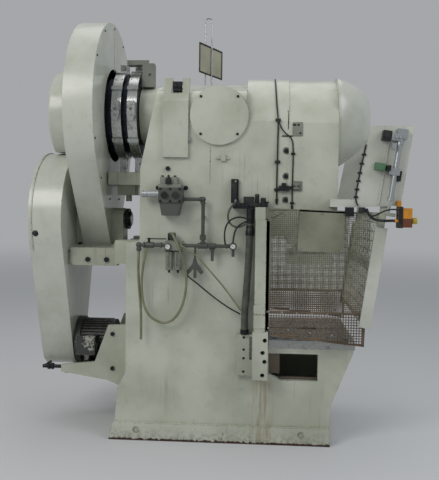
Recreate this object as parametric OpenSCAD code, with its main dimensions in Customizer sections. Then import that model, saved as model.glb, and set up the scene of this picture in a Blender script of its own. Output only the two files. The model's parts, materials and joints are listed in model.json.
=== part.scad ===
// Gap-frame stamping press with an eccentric shaft that runs from back to front.
// X points to the front of the press, Z up, and the near side faces -Y.
// The origin lies on the floor, at the centre of the foundation holes.

/* [Frame] */
// Width over the two side plates
frame_w = 900; // [860:5:940]
// Thickness of a side plate
side_t = 50; // [40:5:60]
// Length of the foot along the floor
base_l = 1380; // [1340:10:1420]
// Height of the foot flange
flange_h = 110; // [90:5:130]
// How far the foot flange stands out from the side plates
flange_out = 30; // [20:5:40]
// Face of the column at the back
column_rear_x = -590; // [-610:5:-580]
// Depth of the throat, where the column ends and the gap starts
throat_x = 290; // [270:5:300]
// Height of the machined top of the bed
bed_z = 600; // [590:5:620]
// Front edge of the bed at its top
bed_front_x = 830; // [810:5:850]
// Underside of the head over the gap
head_z = 1300; // [1280:5:1320]
// Seam between the head and the ram guide housing
seam_x = 413; // [405:2:421]
// Top of the head behind the step
crown_rear_z = 2290; // [2280:5:2300]
// Top of the head in front of the step
crown_front_z = 2320; // [2315:5:2330]
// Radius of the arched roof
roof_r = 476; // [472:2:490]
// Where the roof steps up
roof_step_x = 150; // [130:5:170]

/* [Foundation] */
// Foundation hole spacing along the press
found_dx = 1030; // [1000:10:1060]
// Foundation hole spacing across the press
found_dy = 860; // [820:10:860]
// Foundation hole diameter
found_d = 36; // [30:1:40]

/* [Drive shaft] */
// Height of the eccentric shaft
shaft_z = 2080; // [2070:5:2090]
// Diameter of the shaft journals
journal_d = 150; // [130:5:160]
// Wall of a bearing bush
bush_wall = 20; // [14:1:26]
// Radial running clearance of a journal
run_gap = 0.06; // [0.03:0.01:0.09]
// Half of the stroke
eccentricity = 35; // [25:1:36]
// Diameter of the eccentric
eccentric_d = 222; // [220:1:226]
// Outside diameter of the bearing neck behind the head
neck_d = 394; // [380:2:400]
// Middle of the ram, the connecting rod and the bolster
ram_x = 563; // [560:1:566]
// Width of the connecting rod
rod_w = 110; // [100:5:120]

/* [Gear train] */
// Teeth of the drive gear
gear_teeth = 57; // [57:1:57]
// Teeth of the pinion
pinion_teeth = 13; // [13:1:13]
// Gear module
gear_module = 20; // [19.8:0.1:20]
// Width of the drive gear
gear_w = 120; // [100:5:130]
// Backlash taken off each flank
backlash = 1.2; // [0.8:0.1:1.6]
// Diameter of the countershaft
counter_d = 80; // [70:2:90]

/* [Flywheel and motor] */
// Diameter of the flywheel
flywheel_d = 810; // [780:10:820]
// Width of the flywheel
flywheel_w = 130; // [110:5:140]
// Height of the motor shaft
motor_z = 537; // [530:1:545]
// Diameter of the motor body
motor_d = 300; // [280:5:310]
// Diameter of the motor pulley
motor_pulley_d = 200; // [180:5:220]
// Number of V-belts
belt_count = 4; // [3:1:4]

/* [Guards] */
// Radius of the gear guard round the drive gear
gear_guard_r = 610; // [606:1:620]
// Rear face of the gear guard
gear_guard_x = -949; // [-955:1:-946]
// Thickness of the gear guard over its two faces
gear_guard_w = 184; // [180:1:188]
// Radius of the belt guard round the flywheel
belt_guard_r = 440; // [436:1:441]
// Rear face of the belt guard
belt_guard_x = -1220; // [-1225:1:-1215]
// Thickness of the belt guard
belt_guard_w = 212; // [208:1:214]
// Sheet thickness of the guards
sheet_t = 4; // [3:0.5:5]
// Radius of the clutch cover
clutch_cover_r = 295; // [290:1:300]
// Depth of the clutch cover
clutch_cover_l = 191; // [185:1:195]

/* [Brakes] */
// Diameter of the brake drum
drum_d = 560; // [540:5:570]
// Thickness of a brake band
band_t = 12; // [8:1:14]
// Width of a brake band
band_w = 62; // [56:1:66]

/* [Ram and die space] */
// Underside of the ram at the top of its stroke
ram_z = 1110; // [1100:5:1130]
// Thickness of the ram plate
ram_plate_t = 66; // [60:2:72]
// Width of the ram plate across the press
ram_plate_w = 600; // [560:10:640]
// Thickness of the bolster plate
bolster_t = 50; // [45:5:60]
// Width of a T-slot
slot_w = 22; // [18:1:24]
// Distance between T-slots
slot_pitch = 150; // [140:5:160]
// Diameter of the tool shank hole in the ram
shank_d = 50; // [40:1:50]

/* [Front guard] */
// Lean of the front guard from the vertical
lean = 8; // [6:0.5:9]
// Travel of the front guard along its rails
guard_travel = 330; // [300:10:340]
// Width over the sliding front guard
guard_span = 1091; // [1086:1:1091]

/* [Side guard] */
// Length of a guard door along its top
door_l = 621; // [600:1:630]
// Height of a guard door at its hinge
door_h = 768; // [740:2:770]
// Outside width of the hinge post
post_w = 66; // [60:1:70]
// Diameter of a hinge pin
hinge_d = 20; // [16:1:24]
// Opening of the coarse guard mesh
mesh_hole = 34; // [28:1:36]
// Wire left between two mesh openings
mesh_bar = 8; // [6:1:10]

/* [Hidden] */

half_w = frame_w / 2;
seat = 0.3;
face = 1;
flange_y = half_w + flange_out;
body_color = "#c9cbb9";
steel_color = "#8f938f";
dark_color = "#2c2f33";
roof_zc_f = crown_front_z - roof_r;
shoulder_r = 120;
housing_l = 300;
housing_x1 = seam_x + housing_l;
bush_d = journal_d + 2 * bush_wall;
neck_x = -560;
bolster_z = bed_z + bolster_t;

// Gear train, worked out from the teeth
gear_r = gear_module * gear_teeth / 2;
pinion_r = gear_module * pinion_teeth / 2;
counter_z = shaft_z - gear_r - pinion_r;
gear_x = gear_guard_x + gear_guard_w / 2;
flywheel_x = belt_guard_x + belt_guard_w / 2;

// Points along an arc
function arc(cx, cy, r, a0, a1, n) = [for (i = [0 : n]) let (a = a0 + (a1 - a0) * i / n)
    [cx + r * cos(a), cy + r * sin(a)]];

// Outline round two circles one above the other, as a belt or gear guard has it
function teardrop(z_top, r_top, z_low, r_low, n = 48) =
    let (s = asin((r_top - r_low) / (z_top - z_low)))
    concat(arc(0, z_top, r_top, -s, 180 + s, n), arc(0, z_low, r_low, 180 + s, 360 - s, 14));

// Extrudes an outline drawn in X and Z across the press, between two Y values
module across(y0, y1) {
    translate([0, y1, 0]) rotate([90, 0, 0]) linear_extrude(y1 - y0) children();
}

// Extrudes an outline drawn in Y and Z along the press, between two X values
module along(x0, x1) {
    translate([x0, 0, 0]) rotate([90, 0, 90]) linear_extrude(x1 - x0) children();
}

// Round bar along the press
module bar_x(x0, x1, d, y = 0, z = 0, fn = 64) {
    translate([x0, y, z]) rotate([0, 90, 0]) cylinder(d = d, h = x1 - x0, $fn = fn);
}

// Round bar across the press
module bar_y(y0, y1, d, x = 0, z = 0, fn = 48) {
    translate([x, y0, z]) rotate([-90, 0, 0]) cylinder(d = d, h = y1 - y0, $fn = fn);
}

// Upright round bar
module bar_z(z0, z1, d, x = 0, y = 0, fn = 48) {
    translate([x, y, z0]) cylinder(d = d, h = z1 - z0, $fn = fn);
}

// Box between two corners
module box(a, b) {
    translate(a) cube(b - a);
}

// Head or housing block with an arched roof
module arched(x0, x1, z0, zc, r, hw) {
    knee = zc + sqrt(r * r - hw * hw);
    box([x0, -hw, z0], [x1, hw, knee]);
    intersection() {
        bar_x(x0, x1, 2 * r, z = zc, fn = 160);
        box([x0, -hw, zc], [x1, hw, zc + r + face]);
    }
}

// Hexagon bolt head whose shank points along +Y from y
module bolt_y(x, y, z, d, h) {
    translate([x, y, z]) rotate([-90, 0, 0]) cylinder(d = d, h = h, $fn = 6);
}

// Tube of a cord, swept along its route
function unit(v) = v / norm(v);
function at_end(p, i) = i == 0 ? p[1] - p[0] : i == len(p) - 1 ? p[i] - p[i - 1] : p[i + 1] - p[i - 1];
function side_of(t) = unit(cross(t, abs(t[2]) > 0.9 ? [1, 0, 0] : [0, 0, 1]));
function carried(p, i) = i == 0 ? side_of(unit(at_end(p, 0))) :
    let (t = unit(at_end(p, i)), s = carried(p, i - 1)) unit(s - (s * t) * t);
function spline(p, i, t) = let (a = p[max(i - 1, 0)], b = p[i], c = p[i + 1], d = p[min(i + 2, len(p) - 1)])
    0.5 * ((2 * b) + (c - a) * t + (2 * a - 5 * b + 4 * c - d) * t * t + (3 * b - a - 3 * c + d) * t * t * t);
function smooth(p, n) = concat([for (i = [0 : len(p) - 2]) for (k = [0 : n - 1]) spline(p, i, k / n)],
    [p[len(p) - 1]]);

module cord(route, d, steps = 2, sides = 8) {
    p = smooth(route, steps);
    rings = [for (i = [0 : len(p) - 1]) let (t = unit(at_end(p, i)), s = carried(p, i), u = cross(t, s))
        for (k = [0 : sides - 1]) p[i] + d / 2 * (s * cos(360 * k / sides) + u * sin(360 * k / sides))];
    sides_f = [for (i = [0 : len(p) - 2]) for (k = [0 : sides - 1]) let (m = (k + 1) % sides)
        [i * sides + k, i * sides + m, (i + 1) * sides + m, (i + 1) * sides + k]];
    ends = [[for (k = [sides - 1 : -1 : 0]) k], [for (k = [0 : sides - 1]) (len(p) - 1) * sides + k]];
    polyhedron(points = rings, faces = [for (f = concat(sides_f, ends)) [for (k = [len(f) - 1 : -1 : 0]) f[k]]]);
}

// Routes of the hoses and cables, chosen by hand
drain_route = [[-499, -505, 1193], [-500, -506, 1150], [-501, -507, 1080], [-497, -508, 1000],
    [-490, -508, 920], [-484, -507, 840], [-482, -505, 760], [-482, -503, 690], [-483, -501, 645]];
loop_route = [[-449, -530, 1216], [-452, -534, 1180], [-466, -530, 1110], [-476, -524, 1020],
    [-474, -520, 930], [-462, -516, 860], [-432, -512, 800], [-390, -510, 768], [-340, -508, 752],
    [-285, -508, 772], [-240, -510, 830], [-212, -516, 910], [-200, -524, 1000], [-206, -532, 1100],
    [-230, -548, 1180], [-256, -562, 1246], [-276, -552, 1288], [-290, -531, 1306]];
thin_route = [[-242, -536.1, 1244], [-238, -545, 1243], [-228, -562, 1236], [-190, -566, 1212],
    [-130, -562, 1170], [-85, -550, 1118], [-30, -540, 1055], [30, -532, 985], [84, -526, 912],
    [118, -520, 866], [136, -517, 840]];
cable_route = [[-199.4, -505, 1058.7], [-188, -508, 1040], [-140, -510, 1005], [-85, -510, 960],
    [-20, -510, 910], [50, -508, 862], [95, -504, 836], [132, -501, 816]];
conduit_route = [[184, -500, 1370], [184, -502, 1340], [182, -503, 1280], [179, -504, 1200],
    [176, -504, 1110], [171, -504, 1020], [165, -503, 930], [160, -502, 850], [158, -500, 770],
    [158, -499, 694]];
head_route = [[324, -150, 2302], [326, -210, 2278], [328, -284, 2234], [331, -344, 2182],
    [335, -404, 2107], [341, -446, 2038], [344, -460, 1990], [345, -456, 1940], [344, -456, 1860],
    [343, -456, 1760], [342, -456, 1660], [342, -456, 1580], [343, -456, 1524]];

// Hollow frame with its foot, bed, column, head and bearing neck in one piece
module frame() {
    shoulder_z = crown_rear_z - shoulder_r - 90;
    outline = [[-base_l / 2 + 22, 0], [base_l / 2, 0], [base_l / 2 + 3, 224], [716, 300],
        [bed_front_x - 3, bed_z - 24], [bed_front_x, bed_z], [throat_x, bed_z], [throat_x, head_z - 60],
        [throat_x + 18, head_z - 18], [throat_x + 60, head_z], [seam_x, head_z], [seam_x, crown_front_z + face],
        [-385, crown_front_z + face], [-425, 2075], [-504, 1700], [-504, 1251], [-520, 1251],
        [column_rear_x, 1240], [column_rear_x, 420], [-640, 325]];
    wall = side_t;
    color(body_color) difference() {
        union() {
            intersection() {
                union() {
                    along(-700, roof_step_x) polygon(concat([[-half_w, 0], [half_w, 0]],
                        arc(half_w - shoulder_r, shoulder_z, shoulder_r, 0, 75, 10), [[0, crown_rear_z]],
                        arc(shoulder_r - half_w, shoulder_z, shoulder_r, 105, 180, 10)));
                    arched(roof_step_x, 900, 0, roof_zc_f, roof_r, half_w);
                }
                across(-half_w - face, half_w + face) polygon(outline);
            }
            across(-flange_y, flange_y) polygon([[-base_l / 2, 0], [base_l / 2 + 3, 0],
                [base_l / 2 + 3, flange_h - 12], [base_l / 2 - 9, flange_h], [-base_l / 2 + 32, flange_h],
                [-base_l / 2 + 20, flange_h - 12]]);
            bar_x(neck_x, -380, neck_d, z = shaft_z, fn = 96);
            bar_y(-half_w + face, -half_w + 112, 366, -15, 2030, 96);
            for (s = [-1, 1]) rear_lug(s);
        }
        // Inside of the column and the bed, open to the floor
        across(-half_w + wall, half_w - wall) polygon([[-base_l / 2 + 80, -face], [ram_x + 90, -face],
            [ram_x + 90, 230], [770, bed_z - 70], [throat_x - 60, bed_z - 70], [throat_x - 60, 1500],
            [column_rear_x + 130, 1500], [column_rear_x + 130, 1200], [column_rear_x + 45, 1130],
            [column_rear_x + 45, 430], [-580, 330]]);
        // Inside of the head, between its two bearing walls
        box([-330, -half_w + 110, 1560], [seam_x - 60, half_w - 110, crown_rear_z - 170]);
        // Shaft bore through the neck and both walls
        bar_x(neck_x - face, seam_x + face, bush_d, z = shaft_z, fn = 96);
        // Chip opening through the bed, under the table
        across(-half_w - face, half_w + face) polygon([[throat_x + 19, bed_z - 32], [613, bed_z - 32],
            [613, 400], [385, 400], [throat_x + 19, 435]]);
        // Foundation holes and the space over them
        for (x = [-1, 1]) for (y = [-1, 1])
            bar_z(-face, flange_h + 40, found_d, x * found_dx / 2, y * found_dy / 2);
        // Shallow rusty recesses on the outside of the flange
        for (s = [-1, 1]) for (x = [-1, 1]) bar_y(s > 0 ? flange_y - 10 : -flange_y - face,
            s > 0 ? flange_y + face : -flange_y + 10, 40, x * found_dx / 2, flange_h - 43);
        // Hole in the bed that slugs fall through
        bar_z(bed_z - 80, bed_z + face, 160, ram_x, 0, 64);
        // Access hole behind the round cover, and the weld seam under it
        bar_y(-half_w - face, -half_w + 112, 300, -15, 2030, 64);
        box([-70, -half_w - face, 1610], [-66, -half_w + 3, 1840]);
        // Counterbored plugs beside the seam
        for (z = [1817, 1662, 1517]) bar_y(-half_w - face, -half_w + 14, 46, 398, z);
        bar_y(-half_w - face, -half_w + 8, 40, 380, 1443);
        // Slot in the front edge of the head
        box([seam_x - 9, -half_w - face, 1950], [seam_x - 3, -half_w + 30, 2149]);
        // Bolster fixing holes
        for (x = [-1, 1]) for (y = [-1, 1])
            bar_z(bed_z - 60, bed_z + face, 24.5, ram_x + x * 220, y * 380);
    }
}

// Lug on the back of the column that carries the countershaft bracket
lug_y = 300;
module rear_lug(side) {
    across(side * lug_y - 60, side * lug_y + 60) polygon([[-500, 1063], [-589, 1063], [-612, 1099],
        [-679, 1099], [-679, 1250], [-500, 1250]]);
}

// Housing in front of the head that guides the ram
module guide_housing() {
    color(body_color) difference() {
        union() {
            arched(seam_x + seat, housing_x1, 1250, roof_zc_f - 11, roof_r, half_w);
        }
        // Well of the ram, open below
        box([ram_x - 110, -330, 1200], [ram_x + 110, 330, 2000]);
        // Crank chamber
        intersection() {
            bar_x(ram_x - 110, ram_x + 110, 500, z = shaft_z, fn = 96);
            box([ram_x - 110, -330, 1700], [ram_x + 110, 330, crown_front_z - 58]);
        }
        // Bores for the shaft
        bar_x(seam_x, ram_x, journal_d + 30, z = shaft_z);
        bar_x(ram_x, housing_x1 + face, 150, z = shaft_z);
        // Slanted relief under the crank hood
        box([housing_x1 - 14, -half_w - face, 2140], [housing_x1 + face, -half_w + 12, 2200]);
    }
}

// Sheet hood over the end of the shaft: one shell, rounded at the front
module crank_hood() {
    color(body_color) difference() {
        hood_form(0);
        hood_form(sheet_t + 2);
    }
}

module hood_form(t) {
    hull() {
        intersection() {
            bar_x(housing_x1 + seat - t * 0.1, housing_x1 + 52, 2 * (roof_r - 20 - t), z = roof_zc_f + 8, fn = 64);
            box([housing_x1 - 2, -420 + t, 1736 + t], [housing_x1 + 52, 420 - t, 2400]);
        }
        intersection() {
            bar_x(housing_x1 + 52, 900 - t, 2 * (300 - t), z = 1948, fn = 64);
            box([housing_x1, -260 + t, 1868 + t], [900 - t, 260 - t, 2400]);
        }
        bar_x(900, 938 - t, 2 * (190 - t), z = 2020, fn = 48);
    }
}

// Round cover over the access hole of the head
module side_cover() {
    color(body_color) difference() {
        bar_y(-half_w - 18 - seat, -half_w - seat, 360, -15, 2030, 128);
        for (x = [-1, 1]) for (z = [-1, 1])
            bar_y(-half_w - 30, -half_w, 9, -15 + x * 113, 2030 + z * 114, 24);
    }
}

// Small screws and bolt heads that hold covers and brackets to the near side
module cover_screws() {
    color(dark_color) {
        for (x = [-1, 1]) for (z = [-1, 1])
            bar_y(-half_w - 24, -half_w - 18 - seat, 16, -15 + x * 113, 2030 + z * 114, 24);
        bolt_y(-330, -half_w - 12, 1704, 30, 12);
        for (x = [-392, -217]) bolt_y(x, -half_w - 10, 1585, 20, 10);
        for (z = [1817, 1662, 1517]) bar_y(-half_w + 4, -half_w + 14, 30, 398, z, 6);
        for (x = [440, 468]) bolt_y(x, -half_w - 9, 1975, 14, 9);
    }
}

// Bent cover over the clamp bolts of the neck bearing, with a window between two ears
module cap_cover() {
    y0 = -half_w - 22;
    color(body_color) difference() {
        along(-361, -204) polygon([[-half_w - seat, 1773], [y0, 1773], [y0, 2116], [y0 + 88, 2268],
            [y0 + 107, 2257], [-half_w - seat, 2113]]);
        box([-310, y0 - 40, 2190], [-250, y0 + 140, 2300]);
        box([-314, y0 + 30, 2150], [-246, y0 + 140, 2200]);
    }
}

// Table plate on the bed, with three T-slots and a hole for slugs
module bolster_plate() {
    x0 = throat_x + 16;
    color(steel_color) difference() {
        box([x0, -half_w, bed_z], [bed_front_x + 8, half_w, bolster_z]);
        for (i = [-1 : 1]) {
            box([x0 - face, i * slot_pitch * 1.6 - slot_w / 2, bolster_z - 30],
                [bed_front_x + 10, i * slot_pitch * 1.6 + slot_w / 2, bolster_z + face]);
            box([x0 - face, i * slot_pitch * 1.6 - slot_w * 0.9, bolster_z - 34],
                [bed_front_x + 10, i * slot_pitch * 1.6 + slot_w * 0.9, bolster_z - 17]);
        }
        bar_z(bed_z - face, bolster_z + face, 140, ram_x, 0, 64);
        for (x = [-1, 1]) for (y = [-1, 1]) {
            bar_z(bed_z - face, bolster_z + face, 25, ram_x + x * 220, y * 380);
            bar_z(bolster_z - 24, bolster_z + face, 40, ram_x + x * 220, y * 380);
        }
    }
}

// Two bronze bushes of the eccentric shaft, in the neck and in the front wall
module bearing_bushes() {
    color("#b08a4a") for (r = [[neck_x + 4, -340], [seam_x - 58, seam_x - 2]]) difference() {
        bar_x(r[0], r[1], bush_d, z = shaft_z, fn = 96);
        bar_x(r[0] - face, r[1] + face, journal_d + 2 * run_gap, z = shaft_z, fn = 96);
    }
}

// One-piece shaft: long journal, eccentric and front stub
module eccentric_shaft() {
    color(steel_color) {
        bar_x(-1122, ram_x - rod_w / 2 - 2, journal_d, z = shaft_z, fn = 96);
        bar_x(ram_x - rod_w / 2 - 2, ram_x + rod_w / 2 + 2, eccentric_d, z = shaft_z + eccentricity, fn = 96);
        bar_x(ram_x + rod_w / 2 + 2, housing_x1 + 40, 150 - 2 * run_gap, z = shaft_z, fn = 96);
    }
}

// Rod with a split big end, its cap bolts, and a threaded foot
rod_foot_z = 1560;
screw_d = 70;
module connecting_rod() {
    c = shaft_z + eccentricity;
    color("#7d827c") difference() {
        union() {
            bar_x(ram_x - rod_w / 2, ram_x + rod_w / 2, eccentric_d + 64, z = c, fn = 96);
            along(ram_x - rod_w / 2, ram_x + rod_w / 2) polygon([[-62, rod_foot_z + 30], [-52, rod_foot_z],
                [52, rod_foot_z], [62, rod_foot_z + 30], [78, c - 120], [-78, c - 120]]);
            for (y = [-1, 1]) box([ram_x - 28, min(y * 124, y * 172), c - 40],
                [ram_x + 28, max(y * 124, y * 172), c + 40]);
        }
        bar_x(ram_x - rod_w, ram_x + rod_w, eccentric_d + 2 * run_gap, z = c, fn = 96);
        bar_z(rod_foot_z - face, rod_foot_z + 210, screw_d, ram_x, 0);
        for (y = [-1, 1]) bar_z(c - 60, c + 60, 22, ram_x, y * 156, 32);
    }
}

// Screw with a ball end that sets the height of the ram
ball_d = 104;
ball_z = 1420;
module adjusting_screw() {
    color(steel_color) union() {
        bar_z(ball_z + 30, rod_foot_z + 205, screw_d, ram_x, 0);
        bar_z(rod_foot_z - 40, rod_foot_z - 8, 110, ram_x, 0, 6);
        intersection() {
            translate([ram_x, 0, ball_z]) sphere(d = ball_d, $fn = 64);
            box([ram_x - 60, -60, ball_z - 60], [ram_x + 60, 60, ball_z + 40]);
        }
    }
}

// Ram: guided body with V flanks, a well for the rod, and a plate that carries the tool
ram_body_y = 220;
ram_body_x = 95;
ram_top_z = 1760;
v_depth = 34;
well_z = 1268;
module ram() {
    plate_z = ram_z + ram_plate_t;
    color("#b9bba8") difference() {
        union() {
            translate([ram_x, 0, plate_z]) linear_extrude(ram_top_z - plate_z) polygon([
                [-ram_body_x, -ram_body_y], [-v_depth, -ram_body_y], [0, -ram_body_y + v_depth],
                [v_depth, -ram_body_y], [ram_body_x, -ram_body_y], [ram_body_x, ram_body_y],
                [v_depth, ram_body_y], [0, ram_body_y - v_depth], [-v_depth, ram_body_y],
                [-ram_body_x, ram_body_y]]);
            across(-ram_plate_w / 2, ram_plate_w / 2) polygon([[ram_x - 143, ram_z], [ram_x + 143, ram_z],
                [ram_x + 143, plate_z - 14], [ram_x + 130, plate_z], [ram_x - 130, plate_z],
                [ram_x - 143, plate_z - 14]]);
        }
        box([ram_x - 64, -128, well_z], [ram_x + 64, 128, ram_top_z + face]);
        bar_z(ram_z - face, ram_z + 90, shank_d, ram_x, 0);
        for (x = [-1, 1]) for (y = [-1, 1]) bar_z(ram_z - face, ram_z + 40, 20, ram_x + x * 100, y * 200, 32);
    }
}

// Four V gibs between the housing and the ram flanks, as two fitted strips
module ram_gibs() {
    color("#a98d55") for (s = [-1, 1]) translate([ram_x, 0, 1262]) linear_extrude(500)
        polygon([[-104, s * 330], [-104, s * (ram_body_y + seat)], [-v_depth, s * (ram_body_y + seat)],
            [0, s * (ram_body_y - v_depth + seat * 1.5)], [v_depth, s * (ram_body_y + seat)],
            [104, s * (ram_body_y + seat)], [104, s * 330]]);
}

// Involute gear outline
function inv(a) = tan(a) * 180 / PI - a;
function half_tooth(r, rp, n) = let (rb = rp * cos(20), a = acos(min(1, rb / max(r, rb))))
    90 / n - backlash / rp * 180 / PI + inv(20) - inv(a);
function gear_points(n, add, ded, turn) = let (rp = gear_module * n / 2,
    radii = [rp - ded, max(rp - ded + 2, rp * cos(20) + 1), rp, rp + add])
    [for (i = [0 : n - 1]) for (k = [0 : 7]) let (r = radii[k < 4 ? k : 7 - k],
        h = half_tooth(r, rp, n), a = turn + i * 360 / n + (k < 4 ? -h : h)) [r * cos(a), r * sin(a)]];

// Large gear on the eccentric shaft, with a thin web and six openings
module drive_gear() {
    add = 0.75 * gear_module;
    ded = 1.25 * gear_module;
    color("#5d6165") difference() {
        union() {
            translate([0, 0, shaft_z]) along(gear_x - gear_w / 2, gear_x + gear_w / 2)
                polygon(gear_points(gear_teeth, add, ded, -90));
            bar_x(gear_x - gear_w / 2 - 14, gear_x + gear_w / 2 + 14, 250, z = shaft_z, fn = 96);
        }
        for (x = [gear_x - gear_w / 2 - 20, gear_x + 18]) difference() {
            bar_x(x, x + gear_w / 2 + 2, 2 * (gear_r - ded - 40), z = shaft_z, fn = 96);
            bar_x(x - face, x + gear_w, 252, z = shaft_z, fn = 96);
        }
        for (a = [0 : 60 : 300])
            bar_x(gear_x - gear_w, gear_x + gear_w, 170, 320 * cos(a), shaft_z + 320 * sin(a), 48);
        bar_x(gear_x - gear_w, gear_x + gear_w, journal_d + 2 * run_gap, z = shaft_z, fn = 96);
    }
}

// Pneumatic clutch on the end of the shaft, under the clutch cover
module clutch_body() {
    x0 = -1112;
    x1 = gear_x - gear_w / 2 - 20;
    color("#474b50") difference() {
        union() {
            bar_x(x0 + 60, x1, 460, z = shaft_z, fn = 96);
            bar_x(x0, x0 + 60, 330, z = shaft_z, fn = 96);
        }
        bar_x(x0 - face, x1 + face, journal_d, z = shaft_z, fn = 96);
        for (a = [0 : 45 : 315]) bar_x(x0 + 50, x0 + 90, 26, 195 * cos(a), shaft_z + 195 * sin(a), 24);
    }
}

// Brake drum with two tracks, keyed to the shaft
brake_x1 = -694;
brake_x2 = -592;
drum_x0 = -776;
drum_x1 = neck_x - 4;
module brake_drum() {
    color("#3a3f46") difference() {
        union() {
            bar_x(drum_x0, drum_x1, drum_d - 60, z = shaft_z, fn = 96);
            for (x = [brake_x1, brake_x2])
                bar_x(x - band_w / 2 + 4, x + min(band_w / 2 - 4, drum_x1 - x), drum_d, z = shaft_z, fn = 128);
        }
        bar_x(drum_x0 - face, drum_x1 + face, journal_d, z = shaft_z, fn = 96);
    }
}

// One brake band: steel hoop, open at the top, with clamp ears, a near lug and a foot
band_r = drum_d / 2 + seat;
anchor_z1 = 1690;
module brake_band(x) {
    r1 = band_r + band_t;
    w = band_w / 2;
    color(steel_color) difference() {
        union() {
            bar_x(x - w, x + w, 2 * r1, z = shaft_z, fn = 128);
            for (y = [-34, 12]) box([x - w + 6, y, shaft_z + r1 - 10], [x + w - 6, y + 22, shaft_z + r1 + 46]);
            bar_y(-34, 34, 16, x, shaft_z + r1 + 26);
            for (s = [-1, 1]) across(min(s * (r1 - 8), s * (r1 + 26)), max(s * (r1 - 8), s * (r1 + 26)))
                polygon([[x - 14, shaft_z - 66], [x + 14, shaft_z - 66], [x + w - 4, shaft_z - 20],
                    [x + w - 8, shaft_z + 60], [x - w + 8, shaft_z + 60], [x - w + 4, shaft_z - 20]]);
            for (s = [-1, 1]) for (a = [-38, 30, 66]) translate([x, 0, shaft_z]) rotate([s * a, 0, 0])
                box([-w - 4, min(s * (r1 - 6), s * (r1 + 10)), -14], [w + 4, max(s * (r1 - 6), s * (r1 + 10)), 14]);
            box([x - w + 8, -46, anchor_z1], [x + w - 8, 46, shaft_z - r1 + 10]);
        }
        bar_x(x - band_w, x + band_w, 2 * band_r, z = shaft_z, fn = 128);
        box([x - band_w, -12, shaft_z + band_r - 20], [x + band_w, 12, shaft_z + r1 + 12]);
        for (s = [-1, 1]) bar_y(s > 0 ? r1 - 4 : -r1 - 40, s > 0 ? r1 + 40 : -r1 + 4, 22, x, shaft_z + 8, 24);
    }
}

module rear_brake_band() {
    brake_band(brake_x1);
}

module front_brake_band() {
    brake_band(brake_x2);
}

// Beam on the back of the column that holds the feet of both bands, with its spring housing
module brake_anchor() {
    color("#a9ab9c") difference() {
        union() {
            box([-756, -230, 1607], [-504, 230, anchor_z1]);
            box([-724, -90, 1542], [-604, 90, 1607]);
            bar_z(1500, 1542, 40, -664, 0);
            for (y = [-150, 150]) box([-560, y - 50, 1540], [-504, y + 50, 1607]);
        }
        for (y = [-190, 190]) for (x = [-720, -600]) bar_z(1600, 1700, 26, x, y, 32);
    }
}

// Countershaft between the flywheel and the sprocket
module countershaft() {
    color(steel_color) difference() {
        bar_x(belt_guard_x + 18, -640, counter_d, z = counter_z, fn = 64);
        bar_x(-660, -639, 12, z = counter_z, fn = 24);
    }
}

// Pinion keyed to the countershaft
module pinion() {
    color("#5d6165") difference() {
        translate([0, 0, counter_z]) along(gear_x - gear_w / 2 - 4, gear_x + gear_w / 2 + 4)
            polygon(gear_points(pinion_teeth, 0.9 * gear_module, 1.1 * gear_module, 90 + 180 / pinion_teeth));
        bar_x(gear_x - gear_w, gear_x + gear_w, counter_d, z = counter_z);
    }
}

// Grooves for the belts, cut at a given radius
belt_pitch = 26;
module belt_grooves(r, z) {
    for (i = [0 : belt_count - 1]) let (x = flywheel_x + (i - (belt_count - 1) / 2) * belt_pitch) difference() {
        bar_x(x - 8, x + 8, 2 * r + 10, z = z, fn = 96);
        bar_x(x - 9, x + 9, 2 * (r - 10), z = z, fn = 96);
    }
}

// Flywheel with belt grooves in its rim, a web with openings and a hub
module flywheel() {
    r = flywheel_d / 2;
    color("#55595c") difference() {
        bar_x(flywheel_x - flywheel_w / 2, flywheel_x + flywheel_w / 2, flywheel_d, z = counter_z, fn = 128);
        belt_grooves(r, counter_z);
        for (x = [flywheel_x - flywheel_w / 2 - 2, flywheel_x + 16]) difference() {
            bar_x(x, x + flywheel_w / 2 - 12, 2 * r - 110, z = counter_z, fn = 96);
            bar_x(x - face, x + flywheel_w, 170, z = counter_z, fn = 64);
        }
        for (a = [0 : 72 : 288])
            bar_x(flywheel_x - 90, flywheel_x + 90, 120, 225 * cos(a), counter_z + 225 * sin(a), 48);
        bar_x(flywheel_x - 90, flywheel_x + 90, counter_d, z = counter_z);
    }
}

// Belts round the flywheel and the motor pulley
module v_belts() {
    r = flywheel_d / 2 - 9;
    rm = motor_pulley_d / 2 - 9;
    color("#1d1e20") for (i = [0 : belt_count - 1])
        let (x = flywheel_x + (i - (belt_count - 1) / 2) * belt_pitch) along(x - 6.5, x + 6.5) difference() {
            polygon(teardrop(counter_z, r + 12, motor_z, rm + 12, 30));
            polygon(teardrop(counter_z, r, motor_z, rm, 30));
        }
}

// Pulley with the rotor shaft of the motor
rotor_d = 42;
module motor_pulley() {
    color("#6b6f70") difference() {
        union() {
            bar_x(flywheel_x - 60, flywheel_x + 60, motor_pulley_d, z = motor_z, fn = 96);
            bar_x(flywheel_x, -770, rotor_d, z = motor_z);
        }
        belt_grooves(motor_pulley_d / 2, motor_z);
    }
}

// Ribbed motor body with its flange, feet and terminal box
module motor_housing() {
    r = motor_d / 2;
    fins = 40;
    color(dark_color) difference() {
        union() {
            translate([0, 0, motor_z]) along(-972, -770) polygon([for (i = [0 : fins - 1]) for (k = [0 : 3])
                let (a = (i + [0, 0.02, 0.45, 0.47][k]) * 360 / fins, q = k == 1 || k == 2 ? r : r - 14)
                [q * cos(a), q * sin(a)]]);
            bar_x(-1002, -966, 2 * r + 26, z = motor_z, fn = 64);
            bar_x(-780, -745, 2 * r - 10, z = motor_z, fn = 64);
            box([-962, -244, motor_z - 56], [-842, -120, motor_z + 62]);
            for (x = [-940, -820]) box([x, -150, motor_base_z + seat], [x + 50, 150, motor_z - 110]);
        }
        bar_x(-1004, -770, rotor_d + 2 * run_gap, z = motor_z);
    }
}

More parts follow.
